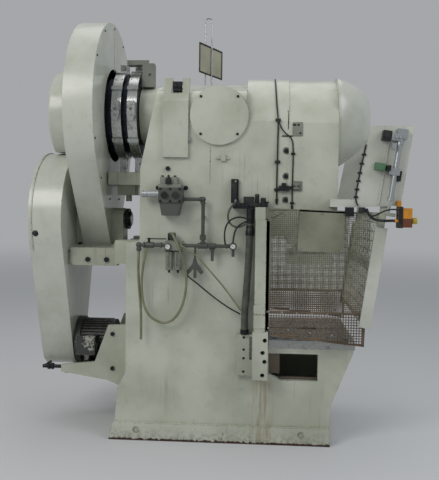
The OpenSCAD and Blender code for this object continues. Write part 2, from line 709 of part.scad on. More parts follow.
// Bracket of the motor: two gussets, a base plate and a back plate
motor_base_z = motor_z - motor_d / 2 - 15;
module motor_bracket() {
    outline = [[-1060, 415], [-835, 440], [-745, 685], [column_rear_x - seat, 692],
        [column_rear_x - seat, 424], [-641, 328], [-668, 288], [-757, 322], [-1060, 368]];
    color(body_color) difference() {
        union() {
            for (y = [-262, 238]) across(y, y + 24) polygon(outline);
            across(-250, 250) polygon([[-1040, motor_base_z - 16], [-700, motor_base_z - 16],
                [-700, motor_base_z], [-1040, motor_base_z]]);
            across(-250, 250) polygon([[-640, 424], [column_rear_x - seat, 424], [column_rear_x - seat, 692],
                [-640, 692]]);
        }
        for (s = [-1, 1]) for (z = [400, 628]) bar_y(s * 275 - 20, s * 275 + 20, 16, -715, z, 24);
    }
}

// Adjusting rod beside the belt guard that tightens the belts
module tension_rod() {
    color("#8b8d84") {
        bar_x(-1186, -1060 - seat, 24, -250, 400, 32);
        box([-1180, -250, 392], [-1166, -126, 408]);
    }
}

// Cantilever bracket on the rear lugs, with two rails and two seats for the bearings
module countershaft_bracket() {
    x0 = belt_guard_x + belt_guard_w;
    color(body_color) difference() {
        union() {
            for (s = [-1, 1]) across(s * 270 - 30, s * 270 + 30) polygon([[x0 + 22, 1100], [x0 + 40, 1081],
                [-679, 1081], [-679, 1196], [x0 + 22, 1196]]);
            box([x0 + 0.5, -270, 1081], [gear_guard_x - 4, 270, 1160]);
            box([gear_guard_x + gear_guard_w + 4, -270, 1081], [-690, 270, 1160]);
            for (s = [-1, 1]) box([-700, s * 270 - 30, 1081], [-679, s * 270 + 30, 1230]);
        }
        for (s = [-1, 1]) for (x = [-871, -748]) bar_y(s * 270 - 40, s * 270 + 40, 18, x, 1120, 24);
    }
}

// Two plummer blocks of the countershaft
module bearing_blocks() {
    x = [[belt_guard_x + belt_guard_w, gear_guard_x], [gear_guard_x + gear_guard_w, -688]];
    color("#b7b9a6") for (b = x) difference() {
        along(b[0], b[1]) polygon(concat([[-110, 1160], [110, 1160], [110, 1200], [78, 1216]],
            arc(0, counter_z, 74, 0, 180, 24), [[-78, 1216], [-110, 1200]]));
        bar_x(b[0] - face, b[1] + face, counter_d + 2 * run_gap, z = counter_z);
    }
}

// Chain sprocket on the front end of the countershaft
module sprocket() {
    n = 17;
    color(dark_color) difference() {
        union() {
            translate([0, 0, counter_z]) along(-676, -660) polygon([for (i = [0 : n - 1]) for (k = [0 : 3])
                let (a = (i + [0, 0.28, 0.5, 0.78][k]) * 360 / n, q = k < 2 ? 66 : 57) [q * cos(a), q * sin(a)]]);
            bar_x(-684, -646, 100, z = counter_z, fn = 64);
        }
        bar_x(-700, -639, counter_d, z = counter_z);
    }
}

// Hollow guard of sheet metal, with a rim and two faces
module guard_shell(x, w, z1, r1, z2, r2) {
    difference() {
        along(x, x + w) polygon(teardrop(z1, r1, z2, r2, 72));
        along(x + sheet_t, x + w - sheet_t) polygon(teardrop(z1, r1 - sheet_t, z2, r2 - sheet_t, 72));
    }
}

module gear_guard() {
    color(body_color) difference() {
        guard_shell(gear_guard_x, gear_guard_w, shaft_z, gear_guard_r, counter_z - 45, pinion_r + 35);
        bar_x(gear_guard_x - face, gear_guard_x + 20, 500, z = shaft_z, fn = 96);
        bar_x(gear_guard_x + gear_guard_w - 20, gear_guard_x + gear_guard_w + face, 620, z = shaft_z, fn = 96);
        bar_x(gear_guard_x - face, gear_guard_x + gear_guard_w + face, 120, z = counter_z);
    }
}

module clutch_cover() {
    x0 = gear_guard_x - clutch_cover_l;
    flat_z = counter_z + belt_guard_r + 4;
    color(body_color) difference() {
        union() {
            bar_x(x0 + 14, gear_guard_x, 2 * clutch_cover_r, z = shaft_z, fn = 128);
            translate([x0, 0, shaft_z]) rotate([0, 90, 0])
                cylinder(r1 = clutch_cover_r - 12, r2 = clutch_cover_r, h = 14, $fn = 128);
        }
        intersection() {
            bar_x(x0 + sheet_t, gear_guard_x + face, 2 * clutch_cover_r - 34, z = shaft_z, fn = 128);
            box([x0, -clutch_cover_r, flat_z + sheet_t], [gear_guard_x + face, clutch_cover_r, 2600]);
        }
        box([x0 - face, -clutch_cover_r, flat_z - 200], [gear_guard_x + face, clutch_cover_r, flat_z]);
    }
}

module belt_guard() {
    color(body_color) difference() {
        guard_shell(belt_guard_x, belt_guard_w, counter_z, belt_guard_r, motor_z, 165);
        bar_x(belt_guard_x + belt_guard_w - 10, belt_guard_x + belt_guard_w + face, 120, z = counter_z);
        bar_x(belt_guard_x + belt_guard_w - 10, belt_guard_x + belt_guard_w + face, 90, z = motor_z);
    }
}

// Cam switch box on the neck, with the plate that reaches over the bands
module cam_switch() {
    color("#a4a796") {
        difference() {
            box([-551, -140, 2256], [-473, -60, 2400]);
            bar_x(-560, -460, neck_d + 2 * seat, z = shaft_z, fn = 96);
            bar_y(-150, -130, 20, -500, 2334, 24);
        }
        box([-652, -140, 2400], [-473, -60, 2410]);
        box([-652, -140, 2410], [-507, -134, 2430]);
    }
}

// Bent rod on the roof that carries the sign
module sign_post() {
    z1 = 2715;
    color("#9a9c94") {
        for (x = [-146, -104]) bar_z(crown_rear_z, z1, 10, x, 0, 24);
        translate([-125, 0, z1]) rotate([90, 0, 0]) rotate_extrude(angle = 180, $fn = 48)
            translate([21, 0]) circle(d = 10, $fn = 24);
    }
}

module sign_plate() {
    color("#8d8f88") translate([-110.6, 2.7, 2448]) rotate([0, 0, 67]) translate([-165, -1.5, -97])
        cube([330, 3, 195]);
}

// Hinge plates low on the side of the frame and the pivot block above the post
post_x = 251;
post_y = 540;
plate_top_z = 722;
pivot_z = 1395;
module hinge_blocks() {
    color("#c3c4b4") for (s = [-1, 1]) scale([1, s, 1]) difference() {
        union() {
            box([106, half_w, 433], [223, half_w + 40, 690]);
            box([209, half_w, 427], [303, half_w + 62, plate_top_z]);
            box([209, half_w + 62, 427], [303, post_y + 36, plate_top_z]);
            bar_z(plate_top_z - 10, plate_top_z + 40, hinge_d, post_x, post_y);
            box([215, half_w, pivot_z], [277, post_y + 28, pivot_z + 78]);
            bar_z(pivot_z - 36, pivot_z + 10, hinge_d, post_x, post_y);
        }
        for (z = [458, 541, 595, 670]) bar_y(half_w + 62, post_y + 40, 26, z == 458 || z == 595 ? 272 : 284, z, 32);
        for (z = [458, 541, 595, 670]) bar_y(half_w + 20, half_w + 41, 16, 155, z, 24);
        box([190, half_w + 18, 533], [206, half_w + 41, 674]);
    }
}

// Square post of the near door, which turns on two pins
module hinge_post() {
    w = post_w / 2;
    difference() {
        union() {
            box([post_x - w, post_y - w, plate_top_z + seat], [post_x + w, post_y + w, pivot_z - seat]);
            for (z = [[743, 825], [829, 887]])
                box([post_x - w - 4, post_y - w - 4, z[0]], [post_x + w, post_y + w + 4, z[1]]);
        }
        bar_z(plate_top_z - 1, plate_top_z + 60, hinge_d + 2 * run_gap, post_x, post_y);
        bar_z(pivot_z - 60, pivot_z + 1, hinge_d + 2 * run_gap, post_x, post_y);
        box([post_x - w + 5, post_y - w + 5, 900], [post_x + w - 5, post_y + w - 5, pivot_z - 70]);
    }
}

module guard_post() {
    color("#c3c4b4") mirror([0, 1, 0]) hinge_post();
}

// Guard door: flat sheet, coarse mesh openings, an upper plate, a hinge strip and a leaning end profile
module guard_door() {
    x0 = post_x + post_w / 2;
    x1 = x0 + door_l;
    x2 = x0 + door_l - 27;
    z1 = 1469;
    z0 = z1 - door_h;
    pitch = mesh_hole + mesh_bar;
    columns = floor((door_l - 120) / pitch);
    y = post_y + 8;
    foot = plate_top_z + 4;
    color("#a7a48f") {
        difference() {
            across(y, y + 3) polygon([[x0 + 1, foot], [x0 + 33, foot], [x0 + 33, z0 - 3], [x2, z0 - 58],
                [x1, z1 - 22], [x0 + 9, z1], [x0 + 9, pivot_z - 4], [x0 + 1, pivot_z - 4]]);
            for (i = [0 : columns - 1]) for (j = [0 : 17])
                let (x = x0 + 38 + i * pitch, z = z0 + 26 + j * pitch)
                    if (!(j > 10 && i > 3 && i < 11)) box([x, y - face, z], [x + mesh_hole, y + 4, z + mesh_hole]);
        }
        box([x0, y - 26, foot + 2], [x0 + 20, y - seat, pivot_z - 4]);
        across(y + 2, y + 5) polygon([[x0 + 185, 1212], [x0 + 460, 1204], [x0 + 468, z1 - 14], [x0 + 194, z1 - 5]]);
        for (x = [x0 + 204, x0 + 330, x0 + 448]) for (z = [1226, 1408])
            bar_y(y + 4, y + 9, 14, x, z, 16);
        leaning(y + 2, y + 27) polygon([[-stile_w / 2, 0], [stile_w / 2, 0], [stile_w / 2, stile_l],
            [-stile_w / 2, stile_l]]);
    }
}

module side_guard() {
    mirror([0, 1, 0]) guard_door();
}

// Fixed guard on the far side with its own post
module far_side_guard() {
    color("#c3c4b4") hinge_post();
    guard_door();
}

// Leaning frame: an axis through the foot of the end profile, turned by the lean
stile_x = post_x + post_w / 2 + door_l - 28;
stile_z = 760;
stile_w = 70;
stile_l = 606;
module leaning(y0, y1) {
    translate([stile_x, 0, stile_z]) rotate([0, lean, 0]) across(y0, y1) children();
}

// Two side plates with their rails, fixed to the ram guide housing
plate_y = 554;
foot_z = 1480;
module guard_channels() {
    color("#c3c4b4") for (s = [-1, 1]) scale([1, s, 1]) {
        across(plate_y, plate_y + 4) polygon([[660, foot_z], [840, foot_z], [1072, foot_z + 12], [1141, 1962],
            [892, 1958], [857, 1800], [806, foot_z + 46], [660, foot_z + 46]]);
        across(half_w + seat, plate_y) polygon([[660, foot_z], [706, foot_z], [706, foot_z + 46],
            [660, foot_z + 46]]);
        leaning(plate_y + 4, plate_y + 10) polygon([[-46, 740], [-34, 740], [-34, 1150], [-46, 1150]]);
        for (u = [-34, 22]) leaning(guide_y, plate_y) polygon([[u, 735], [u + 12, 735], [u + 12, 1195],
            [u, 1195]]);
    }
}

// Sliding front guard: two stiles with guide shoes, cross bars, a coarse mesh and a lug for the rod
guide_y = 546;
guard_l = 1150;
mesh_l = 700;
module front_guard() {
    y1 = guard_span / 2;
    y0 = y1 - 26;
    inner = y0 - seat;
    pitch = 60;
    color("#c3c4b4") {
        for (s = [-1, 1]) {
            leaning(min(s * y0, s * y1), max(s * y0, s * y1)) polygon([[-20, 0], [20, 0], [20, guard_l],
                [-20, guard_l]]);
            leaning(min(s * (y1 + seat), s * (plate_y - 0.5)), max(s * (y1 + seat), s * (plate_y - 0.5)))
                polygon([[-20, guard_l - 90], [20, guard_l - 90], [20, guard_l], [-20, guard_l]]);
        }
        leaning(-inner, inner) polygon([[-10, guard_l - 40], [14, guard_l - 40], [14, guard_l - 10],
            [-10, guard_l - 10]]);
        leaning(cyl_y - 14, -plate_y - 24) polygon([[4, mesh_l - 20], [60, mesh_l - 20], [60, mesh_l],
            [4, mesh_l]]);
        leaning(-plate_y - 24 + seat, -y0 - 2) polygon([[39, mesh_l - 20], [60, mesh_l - 20], [60, mesh_l],
            [39, mesh_l]]);
        leaning(-y1 + seat, -y0 - 2) polygon([[20 + seat, mesh_l - 20], [39 - seat, mesh_l - 20],
            [39 - seat, mesh_l], [20 + seat, mesh_l]]);
    }
    color("#a7a48f") {
        for (v = [6, mesh_l / 2, mesh_l - 36])
            leaning(-inner, inner) polygon([[-10, v], [14, v], [14, v + 30], [-10, v + 30]]);
        for (i = [-8 : 8]) leaning(i * pitch - 3, i * pitch + 3)
            polygon([[-1, 20], [5, 20], [5, mesh_l - 20], [-1, mesh_l - 20]]);
        for (j = [1 : 10]) leaning(-inner, inner) polygon([[-1, 30 + j * pitch], [5, 30 + j * pitch],
            [5, 36 + j * pitch], [-1, 36 + j * pitch]]);
    }
}

// Pneumatic cylinder outside the near side plate, held on it by two clamps
cyl_y = -600;
cyl_u = 20;
cyl_base = 770;
cyl_len = guard_travel + 90;
rod_d = 14;
module on_lean(u, v) {
    translate([stile_x, cyl_y, stile_z]) rotate([0, lean, 0]) translate([u, 0, v]) children();
}

module guard_cylinder() {
    color("#9ea3a0") difference() {
        union() {
            on_lean(cyl_u, cyl_base) cylinder(d = 32, h = cyl_len, $fn = 48);
            on_lean(cyl_u, cyl_base) cylinder(d = 42, h = 22, $fn = 48);
            on_lean(cyl_u, cyl_base + cyl_len - 90) cylinder(d = 40, h = 30, $fn = 48);
            for (c = [[cyl_u - 26, cyl_len - 56, 60, 56], [cyl_u - 38, 150, 62, 40]])
                on_lean(c[0], cyl_base + c[1]) translate([0, -22, 0])
                    cube([c[2], 22 - cyl_y - plate_y - 4, c[3]]);
        }
        on_lean(cyl_u, cyl_base + 12) cylinder(d = 20, h = cyl_len - 30, $fn = 48);
        on_lean(cyl_u, cyl_base - 1) cylinder(d = rod_d + 2 * run_gap, h = 20, $fn = 32);
    }
}

// Piston with its rod, at the top of the cylinder while the guard is up
module guard_rod() {
    color("#c4c8c8") {
        on_lean(cyl_u, mesh_l) cylinder(d = rod_d, h = cyl_base + cyl_len - 50 - mesh_l, $fn = 32);
        on_lean(cyl_u, cyl_base + cyl_len - 50) cylinder(d = 20 - 2 * run_gap, h = 14, $fn = 32);
    }
}

// Push-button box on its arm beside the front guard
box_y = -640;
module button_box() {
    color("#e09a24") difference() {
        union() {
            box([1046, box_y, 1362], [1072, box_y + 78, 1486]);
            box([1046, box_y + 60, 1486], [1072, -plate_y - 4, foot_z + 40]);
            box([1072, box_y + 3, 1366], [1125, box_y + 75, 1478]);
        }
        bar_x(1100, 1126, 22 + 0.6, box_y + 39, 1404);
    }
    color(dark_color) {
        bar_x(1036, 1046, 16, box_y + 12, 1404, 32);
        bar_x(1026, 1036, 22, box_y + 12, 1404, 8);
    }
}

module stop_button() {
    color("#d8c64a") {
        bar_x(1112, 1134, 22, box_y + 39, 1404, 32);
        bar_x(1134, 1158, 38, box_y + 39, 1404, 48);
    }
}

// Safety double valve of the clutch and brake
module double_valve() {
    y0 = -half_w - 92;
    color("#8f9184") {
        box([-366, y0 + 8, 1606], [-262, -half_w - seat, 1650]);
        box([-376, y0, 1586], [-236, -half_w - seat, 1606]);
        box([-372, y0 - 14, 1494], [-230, -half_w - seat, 1586]);
        across(y0 - 6, -half_w - seat) polygon([[-366, 1494], [-238, 1494], [-252, 1416], [-352, 1416]]);
        for (x = [-335, -268]) bar_y(y0 - 26, y0 - 14, 40, x, 1540, 24);
    }
}

module silencer() {
    color("#c5c9c6") difference() {
        bar_x(-478, -372, 44, -half_w - 62, 1546, 48);
        for (i = [0 : 5]) difference() {
            bar_x(-470 + i * 14, -464 + i * 14, 50, -half_w - 62, 1546, 32);
            bar_x(-471 + i * 14, -463 + i * 14, 36, -half_w - 62, 1546, 32);
        }
    }
}

// Steel pipework with elbows, tees and unions
pipe_d = 22;
pipe_y = -half_w - 52;
module air_pipes() {
    color("#63665e") {
        bar_x(-230, -104, pipe_d, pipe_y, 1516, 32);
        translate([-104, pipe_y, 1516]) sphere(d = 34, $fn = 32);
        bar_z(1232, 1516, pipe_d, -104, pipe_y, 32);
        bar_z(1268, 1300, 38, -104, pipe_y, 8);
        bar_x(-228 + seat, 48, pipe_d, pipe_y, 1232, 32);
        bar_x(-128, -80, 36, pipe_y, 1232, 32);
        bar_x(-60, -30, 34, pipe_y, 1232, 32);
        bar_z(1140, 1232, 18, -45, pipe_y, 24);
        bar_x(-500, -337, pipe_d, pipe_y, 1232, 32);
        bar_x(-456, -416, 38, pipe_y, 1232, 8);
        bar_z(1194, 1232, 28, -499, pipe_y, 32);
        for (x = [-470, -14]) box([x - 8, pipe_y, 1224], [x + 8, -half_w - seat, 1240]);
        box([-112, pipe_y, 1400], [-96, -half_w - seat, 1416]);
    }
    color(dark_color) {
        across(pipe_y - 14, pipe_y + 8) polygon([[-160, 1150], [-140, 1150], [-134, 1120], [-96, 1070],
            [-112, 1056], [-142, 1090], [-142, 1034], [-158, 1034], [-158, 1090], [-190, 1056], [-206, 1070],
            [-166, 1120]]);
        bar_z(1150, 1221, 14, -150, pipe_y, 24);
        box([-158, pipe_y, 1100], [-142, -half_w - seat, 1116]);
    }
}

// Filter and lubricator with slotted bowl guards, and a pressure knob
module filter_regulator() {
    color("#b9bbaf") {
        box([-336, -half_w - 84, 1202], [-229, -half_w - seat, 1258]);
        for (x = [-310, -256]) difference() {
            bar_z(1082, 1202, 46, x, -half_w - 52, 48);
            for (y = [-half_w - 80, -half_w - 40]) box([x - 5, y, 1100], [x + 5, y + 16, 1186]);
            bar_z(1090, 1203, 38, x, -half_w - 52, 48);
        }
    }
    color(dark_color) {
        bar_z(1258, 1312, 44, -296, -half_w - 48, 10);
        for (x = [-310, -256]) bar_z(1092, 1196, 36, x, -half_w - 52, 32);
    }
    color("#d7d9cf") bar_y(-half_w - 98, -half_w - 84, 42, -314, 1226, 32);
}

// Round gauge at the end of the pipe
module pressure_gauge() {
    color("#6a6c66") difference() {
        union() {
            bar_x(48, 62, 26, pipe_y, 1232, 8);
            bar_y(pipe_y - 22, pipe_y + 14, 44, 82, 1232, 48);
        }
        bar_y(pipe_y - 23, pipe_y - 19, 36, 82, 1232, 48);
    }
    color("#6a6c66") bar_z(1168, 1212, 18, 82, pipe_y, 24);
}

// Lever of the ball valve, which turns a quarter
lever_pin = 16;
module valve_lever() {
    color("#51544f") {
        bar_z(1251 + seat, 1276, lever_pin, -436, pipe_y, 24);
        box([-448, pipe_y - 9, 1268], [-330, pipe_y + 9, 1274]);
    }
}

// Pressure switch and valve block at the top of the conduit, with its knobs
module switch_block() {
    color(dark_color) {
        box([64, -half_w - 34, 1498], [100, -half_w - seat, 1642]);
        box([78, -half_w - 66, 1462], [200, -half_w - seat, 1497.5]);
        box([142, -half_w - 62, 1498], [206, -half_w - seat, 1536]);
        bar_z(1498, 1544, 24, 224, -half_w - 40, 24);
        box([200, -half_w - 66, 1476], [290, -half_w - seat, 1498]);
        bar_z(1498, 1516, 30, 262, -half_w - 40, 24);
        bar_z(1372, 1462, 46, 184, -half_w - 50, 32);
        for (c = [[696, 148, 27.5], [900, 152, 31], [1180, 160, 32.5]])
            box([c[1], -half_w - c[2], c[0]], [c[1] + 34, -half_w - seat, c[0] + 18]);
    }
}

// Free hoses and cables
module drain_hose() {
    color("#7d8060") cord(drain_route, 16);
}

module loop_hose() {
    color("#7d8060") cord(loop_route, 16);
}

module thin_hose() {
    color("#7d8060") cord(thin_route, 10);
}

module control_cable() {
    color("#1b1c1d") cord(cable_route, 9);
}

module main_conduit() {
    color("#4b504a") cord(conduit_route, 42, 2, 10);
}

module head_cable() {
    color("#232425") cord(head_route, 9);
}

frame();
guide_housing();
crank_hood();
side_cover();
cover_screws();
cap_cover();
bearing_bushes();
eccentric_shaft();
connecting_rod();
adjusting_screw();
ram();
ram_gibs();
drive_gear();
clutch_body();
brake_drum();
rear_brake_band();
front_brake_band();
brake_anchor();
countershaft();
pinion();
flywheel();
countershaft_bracket();
bearing_blocks();
v_belts();
motor_housing();
motor_pulley();
motor_bracket();
tension_rod();
gear_guard();
clutch_cover();
belt_guard();
cam_switch();
sprocket();
sign_post();
sign_plate();
bolster_plate();
hinge_blocks();
guard_post();
side_guard();
far_side_guard();
guard_channels();
front_guard();
guard_cylinder();
guard_rod();
button_box();
stop_button();
double_valve();
silencer();
air_pipes();
filter_regulator();
pressure_gauge();
valve_lever();
switch_block();
drain_hose();
loop_hose();
thin_hose();
control_cable();
main_conduit();
head_cable();
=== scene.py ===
"""Stamping press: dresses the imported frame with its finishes, sheet work, hoses and small fittings."""

import json
from math import cos, pi, radians, sin, tan

import bmesh
import bpy
from mathutils import Matrix, Vector

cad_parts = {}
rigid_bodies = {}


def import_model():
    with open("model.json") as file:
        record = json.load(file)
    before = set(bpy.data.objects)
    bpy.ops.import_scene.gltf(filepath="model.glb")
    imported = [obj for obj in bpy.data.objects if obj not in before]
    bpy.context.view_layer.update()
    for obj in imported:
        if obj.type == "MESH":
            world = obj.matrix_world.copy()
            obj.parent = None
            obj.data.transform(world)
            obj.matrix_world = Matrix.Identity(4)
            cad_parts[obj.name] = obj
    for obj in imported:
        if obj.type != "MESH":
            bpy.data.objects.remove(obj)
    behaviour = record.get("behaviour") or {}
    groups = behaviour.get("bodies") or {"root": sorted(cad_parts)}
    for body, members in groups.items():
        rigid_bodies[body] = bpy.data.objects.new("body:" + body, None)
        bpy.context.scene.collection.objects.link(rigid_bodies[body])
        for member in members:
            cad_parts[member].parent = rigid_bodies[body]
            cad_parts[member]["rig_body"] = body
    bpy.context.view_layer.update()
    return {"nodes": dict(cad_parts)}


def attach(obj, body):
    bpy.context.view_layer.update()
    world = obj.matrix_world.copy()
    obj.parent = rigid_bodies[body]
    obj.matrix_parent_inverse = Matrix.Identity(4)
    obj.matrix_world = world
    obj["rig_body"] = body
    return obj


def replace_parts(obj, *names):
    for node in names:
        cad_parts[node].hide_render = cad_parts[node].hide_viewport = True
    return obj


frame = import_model()

# Directions: the press faces +X, and its near side faces -Y
FORWARD, BACKWARD, OUTWARD, UP = (1, 0, 0), (-1, 0, 0), (0, -1, 0), (0, 0, 1)


# Small tools for colours and shader nodes


def linear(hex_colour):
    """An sRGB hex colour as the linear RGBA that the shaders take."""
    parts = [int(hex_colour[i : i + 2], 16) / 255 for i in (1, 3, 5)]
    return [c / 12.92 if c <= 0.04045 else ((c + 0.055) / 1.055) ** 2.4 for c in parts] + [1.0]


def node(tree, kind, values={}, **settings):
    """Adds a shader node with its settings; a value that is a socket is linked."""
    made = tree.nodes.new("ShaderNode" + kind)
    for name, setting in settings.items():
        setattr(made, name, setting)
    for name, value in values.items():
        if isinstance(value, bpy.types.NodeSocket):
            tree.links.new(value, made.inputs[name])
        else:
            made.inputs[name].default_value = value
    return made


def start_material(name):
    """An empty node material, with its tree, its surface shader and the coordinates of the piece."""
    material = bpy.data.materials.new(name)
    material.use_nodes = True
    tree = material.node_tree
    shader = tree.nodes["Principled BSDF"]
    place = node(tree, "TexCoord").outputs["Object"]
    return material, tree, shader, place


def window(tree, value, low, high, at_low=0.0, at_high=1.0):
    """Maps a value between two limits, smoothly and clamped."""
    return node(tree, "MapRange", {0: value, 1: low, 2: high, 3: at_low, 4: at_high},
                interpolation_type="SMOOTHSTEP").outputs[0]


def noise(tree, place, size, detail=3.0, rough=0.55, stretch=(1, 1, 1)):
    """Noise whose blotches are about this size in metres, stretched along an axis where asked."""
    scaled = node(tree, "Mapping", {"Vector": place, "Scale": [s / size for s in stretch]})
    return node(tree, "TexNoise", {"Vector": scaled.outputs[0], "Scale": 1.0, "Detail": detail,
                                   "Roughness": rough}).outputs[0]


def blend(tree, share, first, second):
    """Mixes two colours, each a hex string or a socket."""
    pick = [linear(c) if isinstance(c, str) else c for c in (first, second)]
    return node(tree, "Mix", {0: share, 6: pick[0], 7: pick[1]}, data_type="RGBA").outputs[2]


def calc(tree, operation, first, second=0.0):
    """A sum, product or other operation on two numbers or sockets, kept within 0 and 1."""
    return node(tree, "Math", {0: first, 1: second}, operation=operation, use_clamp=True).outputs[0]


def sharp_edges(tree, reach):
    """How near a point is to a sharp edge of the piece, from 0 to 1."""
    soft = node(tree, "Bevel", {"Radius": reach}, samples=4).outputs[0]
    flat = node(tree, "NewGeometry").outputs["Normal"]
    along = node(tree, "VectorMath", {0: soft, 1: flat}, operation="DOT_PRODUCT").outputs["Value"]
    return window(tree, along, 0.997, 0.93)


# Finishes


def enamel(name, coat, shade, under, stain, gloss=0.38, chips=0.5, streaks=0.5, foot_rust=False, peel=False,
           shaded_low=False):
    """Brushed machine enamel: an uneven coat, oil runs down the sides, and edges chipped to the primer."""
    material, tree, shader, place = start_material(name)
    up = node(tree, "SeparateXYZ", {0: place}).outputs[2]
    # The coat yellows and greys in clouds of about 0.4 m, and dirt settles in blotches of 60 mm
    clouds = window(tree, noise(tree, place, 0.42, 4), 0.35, 0.68)
    colour = blend(tree, clouds, coat, shade)
    grime = window(tree, noise(tree, place, 0.07, 5, 0.65), 0.54, 0.80, 0.0, 0.22)
    colour = blend(tree, grime, colour, stain)
    if shaded_low:
        # Painted shade: the lower part darkens to brown, for the shaded bed seen through the holes
        lower_shade = window(tree, up, 1.16, 0.80, 0.0, 0.85)
        colour = blend(tree, lower_shade, colour, blend(tree, clouds, "#6B553F", "#4A3A2B"))
    # Oil runs: streaks 12 mm wide and 0.5 m long, only where the larger noise lets them
    runs = window(tree, noise(tree, place, 0.5, 3, 0.6, (34, 34, 1)), 0.56, 0.76)
    where = window(tree, noise(tree, place, 0.5, 2), 0.5, 0.7, 0.0, streaks)
    colour = blend(tree, calc(tree, "MULTIPLY", runs, where), colour, stain)
    # Chips: flakes of about 9 mm in groups of 90 mm, more of them along edges
    flakes = noise(tree, place, 0.016, 4, 0.7)
    groups = noise(tree, place, 0.11, 2)
    edge = sharp_edges(tree, 0.005)
    worn = calc(tree, "ADD", calc(tree, "MULTIPLY", edge, 0.26), calc(tree, "MULTIPLY", groups, 0.26))
    if foot_rust:
        low = window(tree, up, 0.20, 0.0, 0.0, 0.2)
        worn = calc(tree, "ADD", worn, low)
    chipped = window(tree, calc(tree, "MULTIPLY", flakes, calc(tree, "ADD", worn, 0.30)),
                     0.43 - 0.10 * chips, 0.455 - 0.10 * chips)
    rust = window(tree, noise(tree, place, 0.008, 3), 0.4, 0.6)
    bare = blend(tree, rust, under, "#3A2A22")
    colour = blend(tree, chipped, colour, bare)
    if peel:
        # Patches of 50 mm where the coat has peeled, on the near side
        near = window(tree, node(tree, "SeparateXYZ", {0: place}).outputs[1], -0.14, -0.20)
        bald = window(tree, noise(tree, place, 0.075, 5, 0.72), 0.49, 0.53)
        colour = blend(tree, calc(tree, "MULTIPLY", near, bald), colour, under)
    if foot_rust:
        # Rust runs under the hinge plates, and brown dirt along the floor
        across = node(tree, "SeparateXYZ", {0: place}).outputs[0]
        band = calc(tree, "MULTIPLY", window(tree, across, 0.17, 0.24), window(tree, across, 0.37, 0.30))
        fall = calc(tree, "MULTIPLY", window(tree, up, 0.46, 0.36), window(tree, up, -0.1, 0.12, 0.35, 1))
        fine = window(tree, noise(tree, place, 0.3, 4, 0.6, (14, 14, 1)), 0.36, 0.70, 0.0, 0.6)
        rust_runs = calc(tree, "MULTIPLY", fine, calc(tree, "MULTIPLY", band, fall))
        colour = blend(tree, rust_runs, colour, "#86683F")
        floor_dirt = calc(tree, "MULTIPLY", window(tree, up, 0.11, 0.0, 0.0, 0.5),
                          window(tree, noise(tree, place, 0.03, 5, 0.7), 0.42, 0.62))
        colour = blend(tree, floor_dirt, colour, "#6A5848")
        # Paint flaked off to brown rust along the lowest 30 mm, and in spots up to 100 mm
        ragged = calc(tree, "MULTIPLY", noise(tree, place, 0.022, 5, 0.75), 0.9)
        flaked = window(tree, calc(tree, "ADD", ragged, window(tree, up, 0.034, 0.0, 0.0, 0.45)), 0.74, 0.77)
        spots = window(tree, calc(tree, "ADD", ragged, window(tree, up, 0.16, 0.05, 0.0, 0.06)), 0.64, 0.66)
        foot = calc(tree, "MAXIMUM", flaked, calc(tree, "MULTIPLY", spots, window(tree, up, 0.14, 0.12)))
        colour = blend(tree, foot, colour, blend(tree, rust, "#4B2A1F", "#241814"))
    tree.links.new(colour, shader.inputs["Base Color"])
    dull = calc(tree, "ADD", calc(tree, "MULTIPLY", grime, 0.5), calc(tree, "MULTIPLY", chipped, 0.4))
    tree.links.new(calc(tree, "ADD", dull, gloss), shader.inputs["Roughness"])
    # Brush marks and orange peel of 6 mm, and the step at a chip
    skin = noise(tree, place, 0.03 if peel else 0.014, 2)
    relief = calc(tree, "SUBTRACT", calc(tree, "MULTIPLY", skin, 0.35), calc(tree, "MULTIPLY", chipped, 0.3))
    bump = node(tree, "Bump", {"Height": relief, "Strength": 0.35, "Distance": 0.0012})
    tree.links.new(bump.outputs[0], shader.inputs["Normal"])
    return material


def bare_metal(name, light, dark, tarnish, rough=0.34, grain=(1, 1, 1), size=0.006, spots=0.4):
    """Worked metal: fine tool marks along one axis, and a skin of oil and rust in spots."""
    material, tree, shader, place = start_material(name)
    marks = noise(tree, place, size, 3, 0.6, grain)
    colour = blend(tree, window(tree, marks, 0.35, 0.7), light, dark)
    dirt = window(tree, noise(tree, place, 0.05, 5, 0.65), 0.5, 0.72, 0.0, spots)
    colour = blend(tree, dirt, colour, tarnish)
    tree.links.new(colour, shader.inputs["Base Color"])
    shader.inputs["Metallic"].default_value = 0.85
    tree.links.new(calc(tree, "ADD", calc(tree, "MULTIPLY", dirt, 0.6), rough), shader.inputs["Roughness"])
    bump = node(tree, "Bump", {"Height": marks, "Strength": 0.25, "Distance": 0.0006})
    tree.links.new(bump.outputs[0], shader.inputs["Normal"])
    return material


def rubber(name, base, dust, rough=0.55, shine=0.4):
    """Moulded rubber or PVC: nearly even, with dust that lies in patches."""
    material, tree, shader, place = start_material(name)
    patch = window(tree, noise(tree, place, 0.05, 4), 0.42, 0.72, 0.0, 0.7)
    tree.links.new(blend(tree, patch, base, dust), shader.inputs["Base Color"])
    shader.inputs["Specular IOR Level"].default_value = shine
    tree.links.new(calc(tree, "ADD", calc(tree, "MULTIPLY", patch, 0.3), rough), shader.inputs["Roughness"])
    fine = noise(tree, place, 0.004, 2)
    bump = node(tree, "Bump", {"Height": fine, "Strength": 0.2, "Distance": 0.0004})
    tree.links.new(bump.outputs[0], shader.inputs["Normal"])
    return material


# Paint stained brown by oil and rust inside the chip opening
CHUTE_PAINT = enamel("oil_stained_paint_in_the_chip_opening", "#6E6350", "#54493A", "#3A2A22", "#3E3226",
                     0.4, 0.9, 0.6)
# Cream-grey machine enamel on castings and welded plate: soft gloss, oily runs, red-brown primer at chips
FRAME_ENAMEL = enamel("cream_machine_enamel_on_frame", "#C4C7B8", "#ADB1A0", "#5A3227", "#7C735E",
                      0.30, 0.5, 0.7, foot_rust=True)
